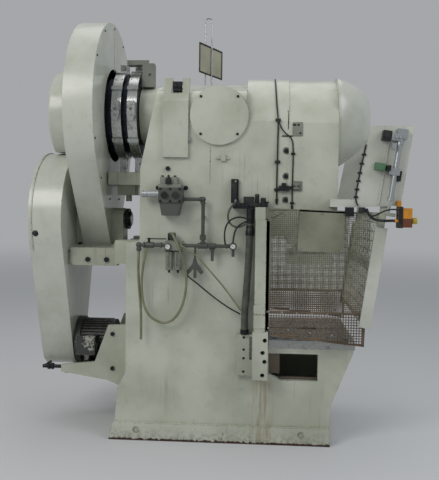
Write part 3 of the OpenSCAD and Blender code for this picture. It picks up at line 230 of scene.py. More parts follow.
# The same enamel on sheet guards, a little cleaner and smoother
GUARD_ENAMEL = enamel("cream_enamel_on_sheet_guards", "#C8CABF", "#B3B7AA", "#54403A", "#857C66",
                      0.22, 0.42, 0.35)
# Enamel on small brackets and posts, handled and chipped
BRACKET_ENAMEL = enamel("worn_enamel_on_brackets", "#BEC0B1", "#A3A695", "#4D3A30", "#6A624F", 0.36, 0.75, 0.6)
# Enamel on perforated sheet, darkened as painted shade of the dark interior seen through its holes, and browned
# lower down as painted shade too
MESH_ENAMEL = enamel("perforated_sheet_enamel_darkened_as_painted_shade", "#8B8D7B", "#6A6957", "#4A3426", "#45372A", 0.45, 0.7,
                     0.5, shaded_low=True)
# Dull black motor enamel that peels off grey iron
MOTOR_ENAMEL = enamel("peeling_black_motor_enamel", "#2D302F", "#3B3E3B", "#A3A298", "#3A3833", 0.5, 1.0, 0.4,
                      peel=True)
# Grey enamel on zinc castings of the air fittings
VALVE_ENAMEL = enamel("grey_enamel_on_zinc_castings", "#868A7E", "#666A60", "#3B3A36", "#4B473D",
                      0.42, 0.7, 0.6)
# Grey-green paint on steel pipe, dark with oily dust
PIPE_ENAMEL = enamel("oily_paint_on_steel_pipe", "#50544D", "#383C38", "#2B2926", "#35322C", 0.4, 0.8, 0.5)
# Ground and oiled steel of the table, shaft and bands
OILED_STEEL = bare_metal("ground_and_oiled_steel", "#B4B6B2", "#8B8E8C", "#5C4B3B", 0.28, (1, 1, 1), 0.006, 0.5)
# Band steel, rolled and brushed round the drum
BAND_STEEL = bare_metal("rolled_band_steel", "#D0D2CE", "#989C9B", "#4C4339", 0.22, (6, 1, 1), 0.008, 0.55)
# Blackened steel of screws, chain and keys
BLACK_STEEL = bare_metal("blackened_steel", "#3A3B3D", "#222326", "#2E2620", 0.42, (1, 1, 1), 0.006, 0.5)
# Cast iron, sand-rough and dark with oil
CAST_IRON = bare_metal("oily_cast_iron", "#3B434C", "#20252B", "#2A2119", 0.45, (1, 1, 1), 0.010, 0.5)
# Tin bronze of bushes and gibs
BRONZE = bare_metal("turned_tin_bronze", "#B08C4E", "#8E6C38", "#4D3C24", 0.3, (1, 1, 1), 0.006, 0.3)
# Hard chrome of the piston rod
CHROME = bare_metal("hard_chrome", "#D4D6D8", "#BFC3C6", "#8A8C8C", 0.12, (1, 1, 1), 0.006, 0.1)
# Anodised aluminium of the cylinder and silencer
ALUMINIUM = bare_metal("anodised_aluminium", "#BDC1C2", "#A4A9AB", "#6D6A60", 0.34, (1, 1, 8), 0.008, 0.35)
# Faded paint on the zinc plate of the bare sign
SIGN_ZINC = enamel("faded_paint_on_zinc_sign_plate", "#B4B29C", "#9A9884", "#5A564A", "#6E6A58", 0.5, 0.4, 0.3)
# Black cable jacket and belts
BLACK_RUBBER = rubber("black_cable_rubber", "#131416", "#3A3833", 0.48)
# Olive air hose of polyurethane
OLIVE_HOSE = rubber("olive_air_hose", "#74765A", "#8B8A74", 0.38, shine=0.5)
# Grey-green armoured conduit
CONDUIT = rubber("grey_armoured_conduit", "#4E524B", "#6C6D60", 0.5)
# Black plastic of switches and clips
BLACK_PLASTIC = rubber("black_moulded_nylon", "#15171A", "#3B3A36", 0.42)
# Signal-orange plastic of the push-button box
ORANGE_PLASTIC = rubber("orange_moulded_box", "#D9902A", "#A9742F", 0.42)
BROWN_PLASTIC = rubber("brown_moulded_box_lower_half", "#6E3A26", "#5A4436", 0.45)
# Yellow plastic of the knob
YELLOW_PLASTIC = rubber("yellow_button_plastic", "#C9B23C", "#A08F42", 0.35)
BEIGE_PLASTIC = rubber("beige_terminal_block", "#A79E84", "#8B826C", 0.5)
GREEN_PLASTIC = rubber("green_sensor_bracket", "#4F7A5A", "#5F6E5A", 0.45)
WHITE_DIAL = rubber("white_enamel_dial", "#D9D9D2", "#B9B8AE", 0.35)
# Clear bowl of the filter, darkened by oil
BOWL = rubber("oil_dark_bowl_polycarbonate", "#23241C", "#3A3828", 0.15, shine=0.6)


def aim_camera():
    """Sets the camera at eye level before the near side, at the angle of the photograph."""
    eye, lens = (0.292, -4.7, 1.49), 51.75
    yaw, pitch, roll = radians(4.0), radians(3.0), radians(0.7)
    ahead = Vector((-sin(yaw) * cos(pitch), cos(yaw) * cos(pitch), -sin(pitch)))
    right = Vector((cos(yaw), sin(yaw), 0))
    up = right.cross(ahead)
    right, up = right * cos(roll) + up * sin(roll), up * cos(roll) - right * sin(roll)
    camera = bpy.data.objects.new("camera", bpy.data.cameras.new("camera"))
    bpy.context.scene.collection.objects.link(camera)
    turn = Matrix((right, up, -ahead)).transposed().to_4x4()
    camera.matrix_world = Matrix.Translation(eye) @ turn
    camera.data.sensor_width = 36
    camera.data.lens = lens
    camera.data.clip_end = 200
    bpy.context.scene.camera = camera


aim_camera()


# Mesh tools: every piece is made in place, in metres, in the frame's own coordinates
def block(bm, low, high):
    """Adds a box between two corners."""
    low, high = Vector(low), Vector(high)
    place = Matrix.Translation((low + high) / 2) @ Matrix.Diagonal((*(high - low), 1))
    return bmesh.ops.create_cube(bm, size=1, matrix=place)["verts"]


def bar(bm, start, end, radius, end_radius=None, segments=24):
    """Adds a round bar or cone between two points."""
    start, end = Vector(start), Vector(end)
    turn = (end - start).to_track_quat("Z", "Y").to_matrix().to_4x4()
    place = Matrix.Translation((start + end) / 2) @ turn
    bmesh.ops.create_cone(bm, cap_ends=True, segments=segments, radius1=radius,
                          radius2=radius if end_radius is None else end_radius,
                          depth=(end - start).length, matrix=place)


def turned(bm, profile, centre, axis, segments=48):
    """Spins an outline of (distance along the axis, radius) pairs round an axis through a point."""
    centre, axis = Vector(centre), Vector(axis).normalized()
    out = Vector(UP if abs(axis.z) < 0.9 else FORWARD)
    verts = [bm.verts.new(centre + axis * a + out * max(r, 1e-5)) for a, r in profile]
    edges = [bm.edges.new(pair) for pair in zip(verts, verts[1:])]
    bmesh.ops.spin(bm, geom=verts + edges, cent=centre, axis=axis, angle=2 * pi, steps=segments,
                   use_merge=True, use_duplicate=False)


def slab(bm, outline, depth):
    """Adds a flat outline of 3-D points, pushed out by a vector."""
    face = bm.faces.new([bm.verts.new(p) for p in outline])
    grown = bmesh.ops.extrude_face_region(bm, geom=[face])["geom"]
    bmesh.ops.translate(bm, vec=depth, verts=[v for v in grown if isinstance(v, bmesh.types.BMVert)])


def hexagon(bm, centre, axis, across, height):
    """Adds a hexagon bolt head that stands on a point."""
    centre, axis = Vector(centre), Vector(axis).normalized()
    bar(bm, centre, centre + axis * height, across / 2 / cos(pi / 6), segments=6)


SHARP = 38  # degrees between two faces from which their edge is sharp
MERGE = 1e-6  # metres within which points are one


def smooth_by_angle(bm, limit=SHARP):
    """Shades every face smoothly, and keeps an edge sharp from this angle on."""
    for face in bm.faces:
        face.smooth = True
    for edge in bm.edges:
        edge.smooth = len(edge.link_faces) == 2 and edge.calc_face_angle(4) < radians(limit)


def finished(name, bm, finish, rounding=0.0):
    """Turns a bmesh into an object with its finish and, where asked, rounded edges."""
    mesh = bpy.data.meshes.new(name)
    bm.to_mesh(mesh)
    bm.free()
    made = bpy.data.objects.new(name, mesh)
    bpy.context.scene.collection.objects.link(made)
    mesh.materials.append(finish)
    if rounding:
        bevel = made.modifiers.new("rounded_edges", "BEVEL")
        bevel.width, bevel.segments, bevel.limit_method = rounding, 2, "ANGLE"
        bevel.angle_limit = radians(SHARP)
        bevel.harden_normals = False
    return made


def piece(name, bm, finish, rounding=0.0, doubles=True, body="base"):
    """Turns a bmesh into a finished piece that rides on a body."""
    if doubles:
        bmesh.ops.remove_doubles(bm, verts=bm.verts, dist=MERGE)
    bmesh.ops.recalc_face_normals(bm, faces=bm.faces)
    smooth_by_angle(bm)
    made = finished(name, bm, finish, rounding)
    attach(made, body)
    return made


def refined(name, finish):
    """A merged copy of a frame node with smooth shading, which stands for the node."""
    source = frame["nodes"][name]
    bm = bmesh.new()
    bm.from_mesh(source.data)
    bmesh.ops.remove_doubles(bm, verts=bm.verts, dist=MERGE)
    smooth_by_angle(bm, 30)
    made = finished(name + "_shape", bm, finish)
    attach(made, source["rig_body"])
    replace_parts(made, name)


# Cords: routes in millimetres, as the frame has them
def spline_point(p, i, t):
    """The point at share t between knots i and i + 1 of a smooth curve through the knots p."""
    a, b, c, d = (Vector(p[k]) for k in (max(i - 1, 0), i, i + 1, min(i + 2, len(p) - 1)))
    return 0.5 * (2 * b + (c - a) * t + (2 * a - 5 * b + 4 * c - d) * t * t + (3 * b - a - 3 * c + d) * t**3)


def smooth_route(route, steps):
    """Points on the smooth curve through a route given in millimetres."""
    points = [spline_point(route, i, k / steps) for i in range(len(route) - 1) for k in range(steps)]
    return [p / 1000 for p in points + [Vector(route[-1])]]


def hose(name, route, diameter, finish, replaces=None):
    """A hose or cable: a round curve along its route, which hides the frame node that it stands for, where one
    is named.
    """
    points = smooth_route(route, 2)
    curve = bpy.data.curves.new(name, "CURVE")
    curve.dimensions = "3D"
    curve.bevel_depth = diameter / 2000
    curve.bevel_resolution = 4
    curve.use_fill_caps = True
    line = curve.splines.new("POLY")
    line.points.add(len(points) - 1)
    for knot, p in zip(line.points, points):
        knot.co = (*p, 1)
    made = bpy.data.objects.new(name, curve)
    bpy.context.scene.collection.objects.link(made)
    curve.materials.append(finish)
    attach(made, "base")
    if replaces:
        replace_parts(made, replaces)


DRAIN_ROUTE = [
    (-499, -505, 1193), (-500, -506, 1150), (-501, -507, 1080), (-497, -508, 1000), (-490, -508, 920),
    (-484, -507, 840), (-482, -505, 760), (-482, -503, 690), (-483, -501, 645)]
LOOP_ROUTE = [
    (-449, -530, 1216), (-452, -534, 1180), (-466, -530, 1110), (-476, -524, 1020), (-474, -520, 930),
    (-462, -516, 860), (-432, -512, 800), (-390, -510, 768), (-340, -508, 752), (-285, -508, 772),
    (-240, -510, 830), (-212, -516, 910), (-200, -524, 1000), (-206, -532, 1100), (-230, -548, 1180),
    (-256, -562, 1246), (-276, -552, 1288), (-290, -531, 1306)]
THIN_ROUTE = [
    (-242, -536.1, 1244), (-238, -545, 1243), (-228, -562, 1236), (-190, -566, 1212), (-130, -562, 1170),
    (-85, -550, 1118), (-30, -540, 1055), (30, -532, 985), (84, -526, 912), (118, -520, 866),
    (136, -517, 840)]
CABLE_ROUTE = [
    (-199.4, -505, 1058.7), (-188, -508, 1040), (-140, -510, 1005), (-85, -510, 960), (-20, -510, 910),
    (50, -508, 862), (95, -504, 836), (132, -501, 816)]
CONDUIT_ROUTE = [
    (184, -500, 1370), (184, -502, 1340), (182, -503, 1280), (179, -504, 1200), (176, -504, 1110),
    (171, -504, 1020), (165, -503, 930), (160, -502, 850), (158, -500, 770), (158, -499, 694)]
HEAD_ROUTE = [
    (324, -150, 2302), (326, -210, 2278), (328, -284, 2234), (331, -344, 2182), (335, -404, 2107),
    (341, -446, 2038), (344, -460, 1990), (345, -456, 1940), (344, -456, 1860), (343, -456, 1760),
    (342, -456, 1660), (342, -456, 1580), (343, -456, 1524)]

# The six hoses and cables of the frame
# Drain hose: 16 mm, hangs from the elbow of the water trap to its free end
hose("drain_hose_tube", DRAIN_ROUTE, 16, OLIVE_HOSE, "drain_hose")
hose("loop_hose_tube", LOOP_ROUTE, 16, OLIVE_HOSE, "loop_hose")
hose("thin_hose_tube", THIN_ROUTE, 10, OLIVE_HOSE, "thin_hose")
hose("control_cable_line", CABLE_ROUTE, 9, BLACK_RUBBER, "control_cable")
hose("main_conduit_tube", CONDUIT_ROUTE, 42, CONDUIT, "main_conduit")
hose("head_cable_line", HEAD_ROUTE, 9, BLACK_RUBBER, "head_cable")

# Short air lines between the pipes, the valve manifold and the conduit
ARC_NEAR = [(34, -502, 1244), (32, -514, 1262), (30, -524, 1300), (36, -528, 1346), (56, -529, 1384),
            (90, -528, 1405), (126, -526, 1411), (158, -524, 1404), (178, -522, 1396)]
ARC_FAR = [(82, -516, 1254), (84, -520, 1274), (90, -524, 1310), (102, -526, 1342), (124, -524, 1366),
           (150, -520, 1380), (170, -516, 1388)]
ARC_GREY = [(100, -500, 1508), (84, -512, 1490), (62, -519, 1462), (50, -521, 1426), (54, -521, 1388),
            (76, -520, 1360), (106, -518, 1350), (138, -516, 1358), (164, -514, 1372)]
hose("near_air_arc", ARC_NEAR, 10, BLACK_RUBBER)
hose("far_air_arc", ARC_FAR, 10, BLACK_RUBBER)
hose("grey_air_arc", ARC_GREY, 13, CONDUIT)

# Branch of the head cable, which crosses to the housing and runs down beside the seam
BRANCH_ROUTE = [(349, -461, 1996), (356, -460, 1975), (368, -458, 1950), (386, -457, 1928), (406, -456, 1912),
                (424, -455, 1894), (435, -455, 1866), (438, -455, 1820), (439, -455, 1760), (438, -455, 1700),
                (437, -455, 1640), (437, -455, 1580), (437, -455, 1530), (437, -455, 1484)]
hose("branch_cable", BRANCH_ROUTE, 8, BLACK_RUBBER)
SENSOR_ROUTE = [(380, -452, 1443), (378, -464, 1438), (366, -470, 1430), (350, -472, 1423), (332, -472, 1414),
                (316, -470, 1406), (304, -466, 1400), (290, -462, 1396), (276, -460, 1394)]
hose("sensor_cable", SENSOR_ROUTE, 7, BLACK_RUBBER)

# Cable clipped along the rear edge of the near side plate
EDGE_ROUTE = [(862, -562, 1850), (856, -562, 1820), (848, -562, 1780), (838, -562, 1735), (830, -562, 1690),
              (822, -562, 1645), (815, -562, 1600), (810, -562, 1560), (808, -562, 1535), (812, -564, 1508),
              (822, -568, 1488)]
hose("edge_cable", EDGE_ROUTE, 9, BLACK_RUBBER)
# Two conduits under the side plate, from the elbow to the push-button box
BOX_CONDUIT = [(872, -590, 1462), (880, -606, 1440), (894, -622, 1420), (916, -629, 1409), (946, -630, 1404),
               (974, -630, 1403), (1000, -629, 1404), (1012, -628, 1404), (1025, -628, 1404)]
hose("box_conduit", BOX_CONDUIT, 16, BLACK_RUBBER)
BOX_CABLE = [(868, -600, 1452), (886, -620, 1434), (908, -634, 1432), (936, -642, 1446), (964, -646, 1460),
             (992, -648, 1468), (1018, -646, 1470), (1038, -640, 1468), (1052, -634, 1466)]
hose("box_cable", BOX_CABLE, 9, BLACK_RUBBER)


# Floor and light
def studio():
    bm = bmesh.new()
    bmesh.ops.create_grid(bm, x_segments=1, y_segments=1, size=60)
    mesh = bpy.data.meshes.new("floor")
    bm.to_mesh(mesh)
    bm.free()
    floor = bpy.data.objects.new("floor", mesh)
    bpy.context.scene.collection.objects.link(floor)
    material, tree, shader, place = start_material("pale_matt_floor")
    shader.inputs["Base Color"].default_value = linear("#D2D3D4")
    shader.inputs["Roughness"].default_value = 0.9
    # Far off, the floor fades into the backdrop
    backdrop = {"Color": linear("#DDE0E3"), "Strength": 0.52}
    far = node(tree, "VectorMath", {0: place}, operation="LENGTH").outputs["Value"]
    haze = node(tree, "Emission", backdrop)
    faded = node(tree, "MixShader", {0: window(tree, far, 4.0, 22.0), 1: shader.outputs[0], 2: haze.outputs[0]})
    tree.links.new(faded.outputs[0], tree.nodes["Material Output"].inputs["Surface"])
    mesh.materials.append(material)

    world = bpy.data.worlds.new("studio")
    bpy.context.scene.world = world
    world.use_nodes = True
    tree = world.node_tree
    lit = tree.nodes["Background"]
    lit.inputs["Color"].default_value = linear("#E9EDF2")
    lit.inputs["Strength"].default_value = 0.42
    seen = node(tree, "Background", backdrop)
    ray = node(tree, "LightPath").outputs["Is Camera Ray"]
    both = node(tree, "MixShader", {0: ray, 1: lit.outputs[0], 2: seen.outputs[0]})
    tree.links.new(both.outputs[0], tree.nodes["World Output"].inputs["Surface"])

    def lamp(name, place, target, size, power, colour):
        light = bpy.data.lights.new(name, "AREA")
        light.shape, light.size, light.energy = "DISK", size, power
        light.color = linear(colour)[:3]
        made = bpy.data.objects.new(name, light)
        bpy.context.scene.collection.objects.link(made)
        away = Vector(place) - Vector(target)
        made.matrix_world = Matrix.Translation(place) @ away.to_track_quat("Z", "Y").to_matrix().to_4x4()

    lamp("window_light", (-3.2, -4.6, 4.6), (0, 0, 1.4), 3.0, 124, "#FFFDF8")
    lamp("hall_light", (3.8, -2.6, 4.2), (0.3, 0, 1.5), 2.6, 62, "#F4F8FF")
    lamp("roof_light", (0.2, 1.2, 5.6), (0, 0, 1.0), 4.4, 58, "#FFFFFF")

    bpy.context.scene.view_settings.view_transform = "Standard"


studio()

# Finishes of the frame's own nodes
FINISH = {name: finish for finish, names in (
    (FRAME_ENAMEL, "frame guide_housing side_cover"),
    (GUARD_ENAMEL, "crank_hood gear_guard clutch_cover belt_guard guard_channels"),
    (BLACK_STEEL, "cover_screws pinion tension_rod sprocket valve_lever"),
    (BRACKET_ENAMEL, "cap_cover ram brake_anchor countershaft_bracket bearing_blocks motor_bracket "
                    "hinge_blocks guard_post front_guard"),
    (BRONZE, "bearing_bushes ram_gibs"),
    (OILED_STEEL, "eccentric_shaft adjusting_screw countershaft sign_post bolster_plate"),
    (CAST_IRON, "connecting_rod drive_gear clutch_body brake_drum flywheel motor_pulley"),
    (BAND_STEEL, "rear_brake_band front_brake_band"),
    (BLACK_RUBBER, "v_belts control_cable head_cable"),
    (MOTOR_ENAMEL, "motor_housing"),
    (VALVE_ENAMEL, "cam_switch double_valve filter_regulator"),
    (SIGN_ZINC, "sign_plate"),
    (MESH_ENAMEL, "side_guard far_side_guard"),
    (ALUMINIUM, "guard_cylinder silencer"),
    (CHROME, "guard_rod"),
    (ORANGE_PLASTIC, "button_box"),
    (YELLOW_PLASTIC, "stop_button"),
    (PIPE_ENAMEL, "air_pipes pressure_gauge"),
    (BLACK_PLASTIC, "switch_block"),
    (OLIVE_HOSE, "drain_hose loop_hose thin_hose"),
    (CONDUIT, "main_conduit"),
) for name in names.split()}
for name, shown in frame["nodes"].items():
    for place in shown.material_slots:
        place.material = FINISH[name]

# Sheet guards and round covers: the frame's shapes with smooth rims
for name in ("gear_guard", "belt_guard", "clutch_cover", "side_cover", "brake_drum", "drive_gear", "flywheel"):
    refined(name, FINISH[name])


# Hood over the end of the shaft: an arched box that tapers to a blunt round nose
def shaft_hood():
    stations = [(0.7133, 0.419, 1.727, 2.3105), (0.722, 0.419, 1.731, 2.3085), (0.742, 0.410, 1.741, 2.303),
                (0.768, 0.394, 1.758, 2.295), (0.804, 0.371, 1.787, 2.279), (0.842, 0.341, 1.816, 2.260),
                (0.880, 0.303, 1.846, 2.237), (0.908, 0.264, 1.873, 2.212), (0.927, 0.222, 1.903, 2.184),
                (0.939, 0.175, 1.943, 2.152), (0.946, 0.118, 1.986, 2.119), (0.9485, 0.055, 2.025, 2.080)]
    bm = bmesh.new()
    rings = []
    for x, half, low, high in stations:
        ring = bmesh.ops.create_circle(bm, segments=64, radius=1)["verts"]
        mid, tall = (low + high) / 2, (high - low) / 2
        for v in ring:
            across, up = v.co.x, v.co.y
            # Arched above the middle, and nearly square below it
            y = abs(across) ** (0.55 if up > 0 else 0.30) * (1 if across > 0 else -1)
            z = abs(up) ** (0.78 if up > 0 else 0.34) * (1 if up > 0 else -1)
            v.co = (x, half * y, mid + tall * z)
        rings.append([e for e in {e for v in ring for e in v.link_edges} if all(w in ring for w in e.verts)])
    for first, second in zip(rings, rings[1:]):
        bmesh.ops.bridge_loops(bm, edges=first + second)
    for ring in (rings[0], rings[-1]):
        bmesh.ops.holes_fill(bm, edges=ring, sides=0)
    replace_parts(piece("shaft_hood", bm, GUARD_ENAMEL), "crank_hood")


shaft_hood()

# Guard doors: perforated sheet with 8 mm holes, closer along the bottom, an upper cover plate, a hinge
# strip and the leaning end profile
POST_X, POST_Y = 0.251, 0.540  # axis of the hinge pins
POST_HALF = 0.033
STILE_X, STILE_Z, LEAN = 0.877, 0.760, radians(8)  # foot and lean of the end profile
TOP_WIDE, FOOT_WIDE = 0.621, 0.594  # width of the door along its top and its foot
TOP_Z, TOP_FALL = 1.469, 0.022  # the top edge falls towards the front
FOOT_Z, FOOT_FALL = 0.701, 0.058  # and so does the lower edge


def leaning(u, v):
    """X and Z of a point on the leaning axis, u across it and v along it."""
    return STILE_X + u * cos(LEAN) + v * sin(LEAN), STILE_Z - u * sin(LEAN) + v * cos(LEAN)


def perforated(bm, low_x, high_x, low_z, high_z, pitch, hole, y, keep):
    """Adds a sheet in X and Z with square holes on a grid, where keep(x, z) says that a hole may be."""
    bar_w = pitch - hole
    columns, rows = round((high_x - low_x - bar_w) / pitch), round((high_z - low_z - bar_w) / pitch)
    made = bmesh.ops.create_grid(bm, x_segments=2 * columns + 1, y_segments=2 * rows + 1, size=0.5)["verts"]
    open_cells = []
    for cell in {f for v in made for f in v.link_faces}:
        middle = cell.calc_center_median()
        i, j = int((middle.x + 0.5) * (2 * columns + 1)), int((middle.y + 0.5) * (2 * rows + 1))
        x, z = low_x + (i // 2) * pitch + bar_w + hole / 2, low_z + (j // 2) * pitch + bar_w + hole / 2
        if i % 2 and j % 2 and keep(x, z):
            open_cells.append(cell)
    bmesh.ops.delete(bm, geom=open_cells, context="FACES_ONLY")
    for v in made:
        i, j = round((v.co.x + 0.5) * (2 * columns + 1)), round((v.co.y + 0.5) * (2 * rows + 1))
        v.co = (low_x + (i // 2) * pitch + (i % 2) * bar_w, y, low_z + (j // 2) * pitch + (j % 2) * bar_w)


def cut(bm, point, normal, clear=False):
    """Cuts a mesh along a plane and, where asked, drops what lies beyond it."""
    bmesh.ops.bisect_plane(bm, geom=bm.verts[:] + bm.edges[:] + bm.faces[:], plane_co=point,
                           plane_no=normal, clear_outer=clear)


def guard_door(side, body, name, replaced):
    """The door on one side, -1 near and 1 far: its sheet, cover plate, screws, edging and end profile."""
    x0 = POST_X + POST_HALF
    y = side * (POST_Y + 0.008)
    far = side * (POST_Y + 0.011)
    bm = bmesh.new()
    plate_low, plate_high = x0 + 0.194, x0 + 0.460

    def in_door(x, z):
        right = 0.8457 + (z - STILE_Z) * tan(LEAN) if z > STILE_Z else 0.868
        covered = plate_low < x < plate_high and z > 1.206
        bottom = 0.702 - FOOT_FALL * (x - x0) / FOOT_WIDE
        top = 1.456 - TOP_FALL * (x - x0) / TOP_WIDE
        return x0 + 0.026 < x < right and bottom + 0.014 < z < top and not covered

    # Upper part: pitch 11.7 mm; strip along the bottom: pitch 16 mm
    perforated(bm, x0 + 0.001, x0 + 0.622, 0.842, 1.480, 0.0117, 0.0076, y, in_door)
    perforated(bm, x0 + 0.001, x0 + 0.622, 0.640, 0.844, 0.0160, 0.0110, y, in_door)
    # The sheet is trimmed to its slanted edges
    for point, out in (((x0, y, FOOT_Z), (-FOOT_FALL / FOOT_WIDE, 0, -1)),
                       ((x0, y, TOP_Z), (TOP_FALL / TOP_WIDE, 0, 1)),
                       ((x0 + FOOT_WIDE, y, FOOT_Z - FOOT_FALL), (1, 0, -0.0338))):
        cut(bm, point, out, clear=True)
    # Corners cut out so that the door clears the hinge plates as it turns
    for cut_x, cut_z, up in ((0.033, 0.726, -1), (0.009, 1.391, 1)):
        for point, out in (((x0 + cut_x, y, cut_z), FORWARD), ((x0, y, cut_z), UP)):
            cut(bm, point, out)
        gone = [f for f in bm.faces if f.calc_center_median().x < x0 + cut_x
                and up * (f.calc_center_median().z - cut_z) > 0]
        bmesh.ops.delete(bm, geom=gone, context="FACES")
    bmesh.ops.recalc_face_normals(bm, faces=bm.faces)
    bmesh.ops.solidify(bm, geom=bm.faces[:], thickness=0.002)
    sheet = piece(name + "_sheet", bm, MESH_ENAMEL, body=body)
    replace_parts(sheet, replaced)

    bm = bmesh.new()
    # Upper cover plate of finer sheet, with its screws
    slab(bm, [(x0 + 0.185, far, 1.212), (x0 + 0.460, far, 1.204), (x0 + 0.468, far, 1.455),
              (x0 + 0.194, far, 1.464)], (0, side * 0.002, 0))
    piece(name + "_cover_plate", bm, MESH_ENAMEL, 0.0006, body=body)
    bm = bmesh.new()
    for x, z in ((0.204, 1.226), (0.330, 1.222), (0.448, 1.218),
                 (0.212, 1.442), (0.330, 1.440), (0.450, 1.436)):
        bar(bm, (x0 + x, far, z), (x0 + x, far + side * 0.006, z), 0.007, 0.0055, 16)
    # Bolts of the strip along the bottom
    for x, z in ((0.02, 0.845), (0.10, 0.842), (0.19, 0.838), (0.28, 0.836), (0.37, 0.834), (0.46, 0.830),
                 (0.55, 0.826), (0.02, 0.745), (0.14, 0.735), (0.27, 0.722), (0.40, 0.710), (0.53, 0.698)):
        bar(bm, (x0 + x, y, z), (x0 + x, y + side * 0.008, z), 0.008, 0.0065, 12)
    piece(name + "_screws", bm, OILED_STEEL, body=body)

    bm = bmesh.new()
    # Hinge strip, edge angles and the joint strip between the two sheets
    low, high = sorted((side * (POST_Y - 0.018), y))
    block(bm, (x0, low, 0.728), (x0 + 0.020, high, 1.391))
    low, high = sorted((y, y + side * 0.0045))
    block(bm, (x0 + 0.002, low, 0.836), (x0 + 0.590, high, 0.850))
    slab(bm, [(x0 + 0.033, y, 0.698), (x0 + 0.594, y, 0.643), (x0 + 0.594, y, 0.651), (x0 + 0.033, y, 0.706)],
         (0, side * 0.006, 0))
    slab(bm, [(x0 + 0.010, y, 1.4686), (x0 + 0.621, y, 1.447), (x0 + 0.621, y, 1.435), (x0 + 0.010, y, 1.4566)],
         (0, side * 0.005, 0))
    piece(name + "_edging", bm, MESH_ENAMEL, 0.0008, body=body)

    bm = bmesh.new()
    # Leaning end profile: a channel open to the inside
    corners = [leaning(u, v) for u, v in ((-0.035, 0), (0.035, 0), (0.035, 0.606), (-0.035, 0.606))]
    slab(bm, [(x, side * (POST_Y + 0.0325), z) for x, z in corners], (0, side * 0.0025, 0))
    for u0, u1 in ((-0.035, -0.032), (0.032, 0.035)):
        corners = [leaning(u, v) for u, v in ((u0, 0), (u1, 0), (u1, 0.606), (u0, 0.606))]
        slab(bm, [(x, side * (POST_Y + 0.0110), z) for x, z in corners], (0, side * 0.022, 0))
    piece(name + "_end_profile", bm, GUARD_ENAMEL, 0.001, body=body)


guard_door(-1, "door", "near_door", "side_guard")


# The far door has its own post
def far_post():
    bm = bmesh.new()
    for half, low, high in ((POST_HALF, 0.7223, 1.3947), (POST_HALF + 0.004, 0.743, 0.825),
                            (POST_HALF + 0.004, 0.829, 0.887)):
        block(bm, (POST_X - half, POST_Y - half, low), (POST_X + half, POST_Y + half, high))
    piece("far_door_post", bm, BRACKET_ENAMEL, 0.002)


far_post()
guard_door(1, "base", "far_door", "far_side_guard")

NEAR = -0.450  # face of the near side plate
PIPE_Y, PIPE_Z = -0.502, 1.232  # axis of the long air pipe


# Ribs of the armoured conduit, 11 mm apart
def conduit_ribs():
    bm = bmesh.new()
    points = smooth_route(CONDUIT_ROUTE, 8)
    gone = 0.0
    for a, b in zip(points, points[1:]):
        gone += (b - a).length
        if gone >= 0.011:
            gone -= 0.011
            turned(bm, [(-0.0034, 0.0205), (-0.0022, 0.0226), (0.0022, 0.0226), (0.0034, 0.0205)], b, b - a, 18)
    piece("conduit_ribs", bm, CONDUIT, doubles=False)
    # Collars where the conduit leaves the switch block and enters the hinge plate
    bm = bmesh.new()
    turned(bm, [(0, 0.020), (0, 0.027), (0.030, 0.027), (0.034, 0.024), (0.060, 0.024), (0.060, 0.020)],
           (0.184, -0.500, 1.300), UP, 32)
    turned(bm, [(0, 0.018), (0, 0.026), (0.026, 0.026), (0.030, 0.018)], (0.158, -0.499, 0.694), UP, 32)
    piece("conduit_collars", bm, BLACK_STEEL, 0.0008)


conduit_ribs()


# Clips, clamps and cable ties along the cables
def cable_clips():
    bm = bmesh.new()
    for x, z in ((0.344, 2.003), (0.344, 1.749), (0.343, 1.580)):
        block(bm, (x - 0.016, NEAR - 0.014, z - 0.009), (x + 0.016, NEAR + 0.001, z + 0.009))
    for x, z in ((0.438, 1.800), (0.438, 1.600), (0.437, 1.500)):
        block(bm, (x - 0.013, NEAR - 0.011, z - 0.006), (x + 0.013, NEAR + 0.001, z + 0.006))
    for x, z in ((0.850, 1.790), (0.838, 1.737), (0.828, 1.682),
                 (0.820, 1.635), (0.813, 1.585), (0.808, 1.540)):
        block(bm, (x - 0.013, -0.569, z - 0.006), (x + 0.013, -0.5575, z + 0.006))
    # The ends of the head cable and of its branch
    bar(bm, (0.343, NEAR - 0.006, 1.524), (0.343, NEAR - 0.006, 1.492), 0.009, 0.006, 16)
    bar(bm, (0.437, NEAR - 0.005, 1.484), (0.437, NEAR - 0.005, 1.462), 0.008, 0.005, 16)
    piece("cable_clips", bm, BLACK_PLASTIC, 0.0012)


cable_clips()


# Two small switch brackets on the seam between the head and the housing
def seam_switches():
    bm = bmesh.new()
    block(bm, (0.434, NEAR - 0.006, 1.908), (0.494, NEAR, 1.992))
    block(bm, (0.434, NEAR - 0.007, 1.574), (0.496, NEAR, 1.634))
    block(bm, (0.444, NEAR - 0.026, 1.584), (0.478, NEAR - 0.006, 1.624))
    piece("seam_plates", bm, VALVE_ENAMEL, 0.0015)
    bm = bmesh.new()
    block(bm, (0.355, NEAR - 0.030, 1.572), (0.420, NEAR, 1.604))
    block(bm, (0.372, NEAR - 0.022, 1.604), (0.398, NEAR, 1.622))
    bar(bm, (0.420, NEAR - 0.015, 1.588), (0.444, NEAR - 0.015, 1.588), 0.006, segments=16)
    block(bm, (0.369, NEAR - 0.005, 1.904), (0.434, NEAR, 1.911))
    for x, z in ((0.448, 1.975), (0.480, 1.925), (0.450, 1.603), (0.470, 1.603)):
        bar(bm, (x, NEAR - 0.006, z), (x, NEAR - 0.030 if z < 1.7 else NEAR - 0.011, z), 0.006, 0.005, 12)
    piece("seam_switch", bm, BLACK_PLASTIC, 0.0012)


seam_switches()


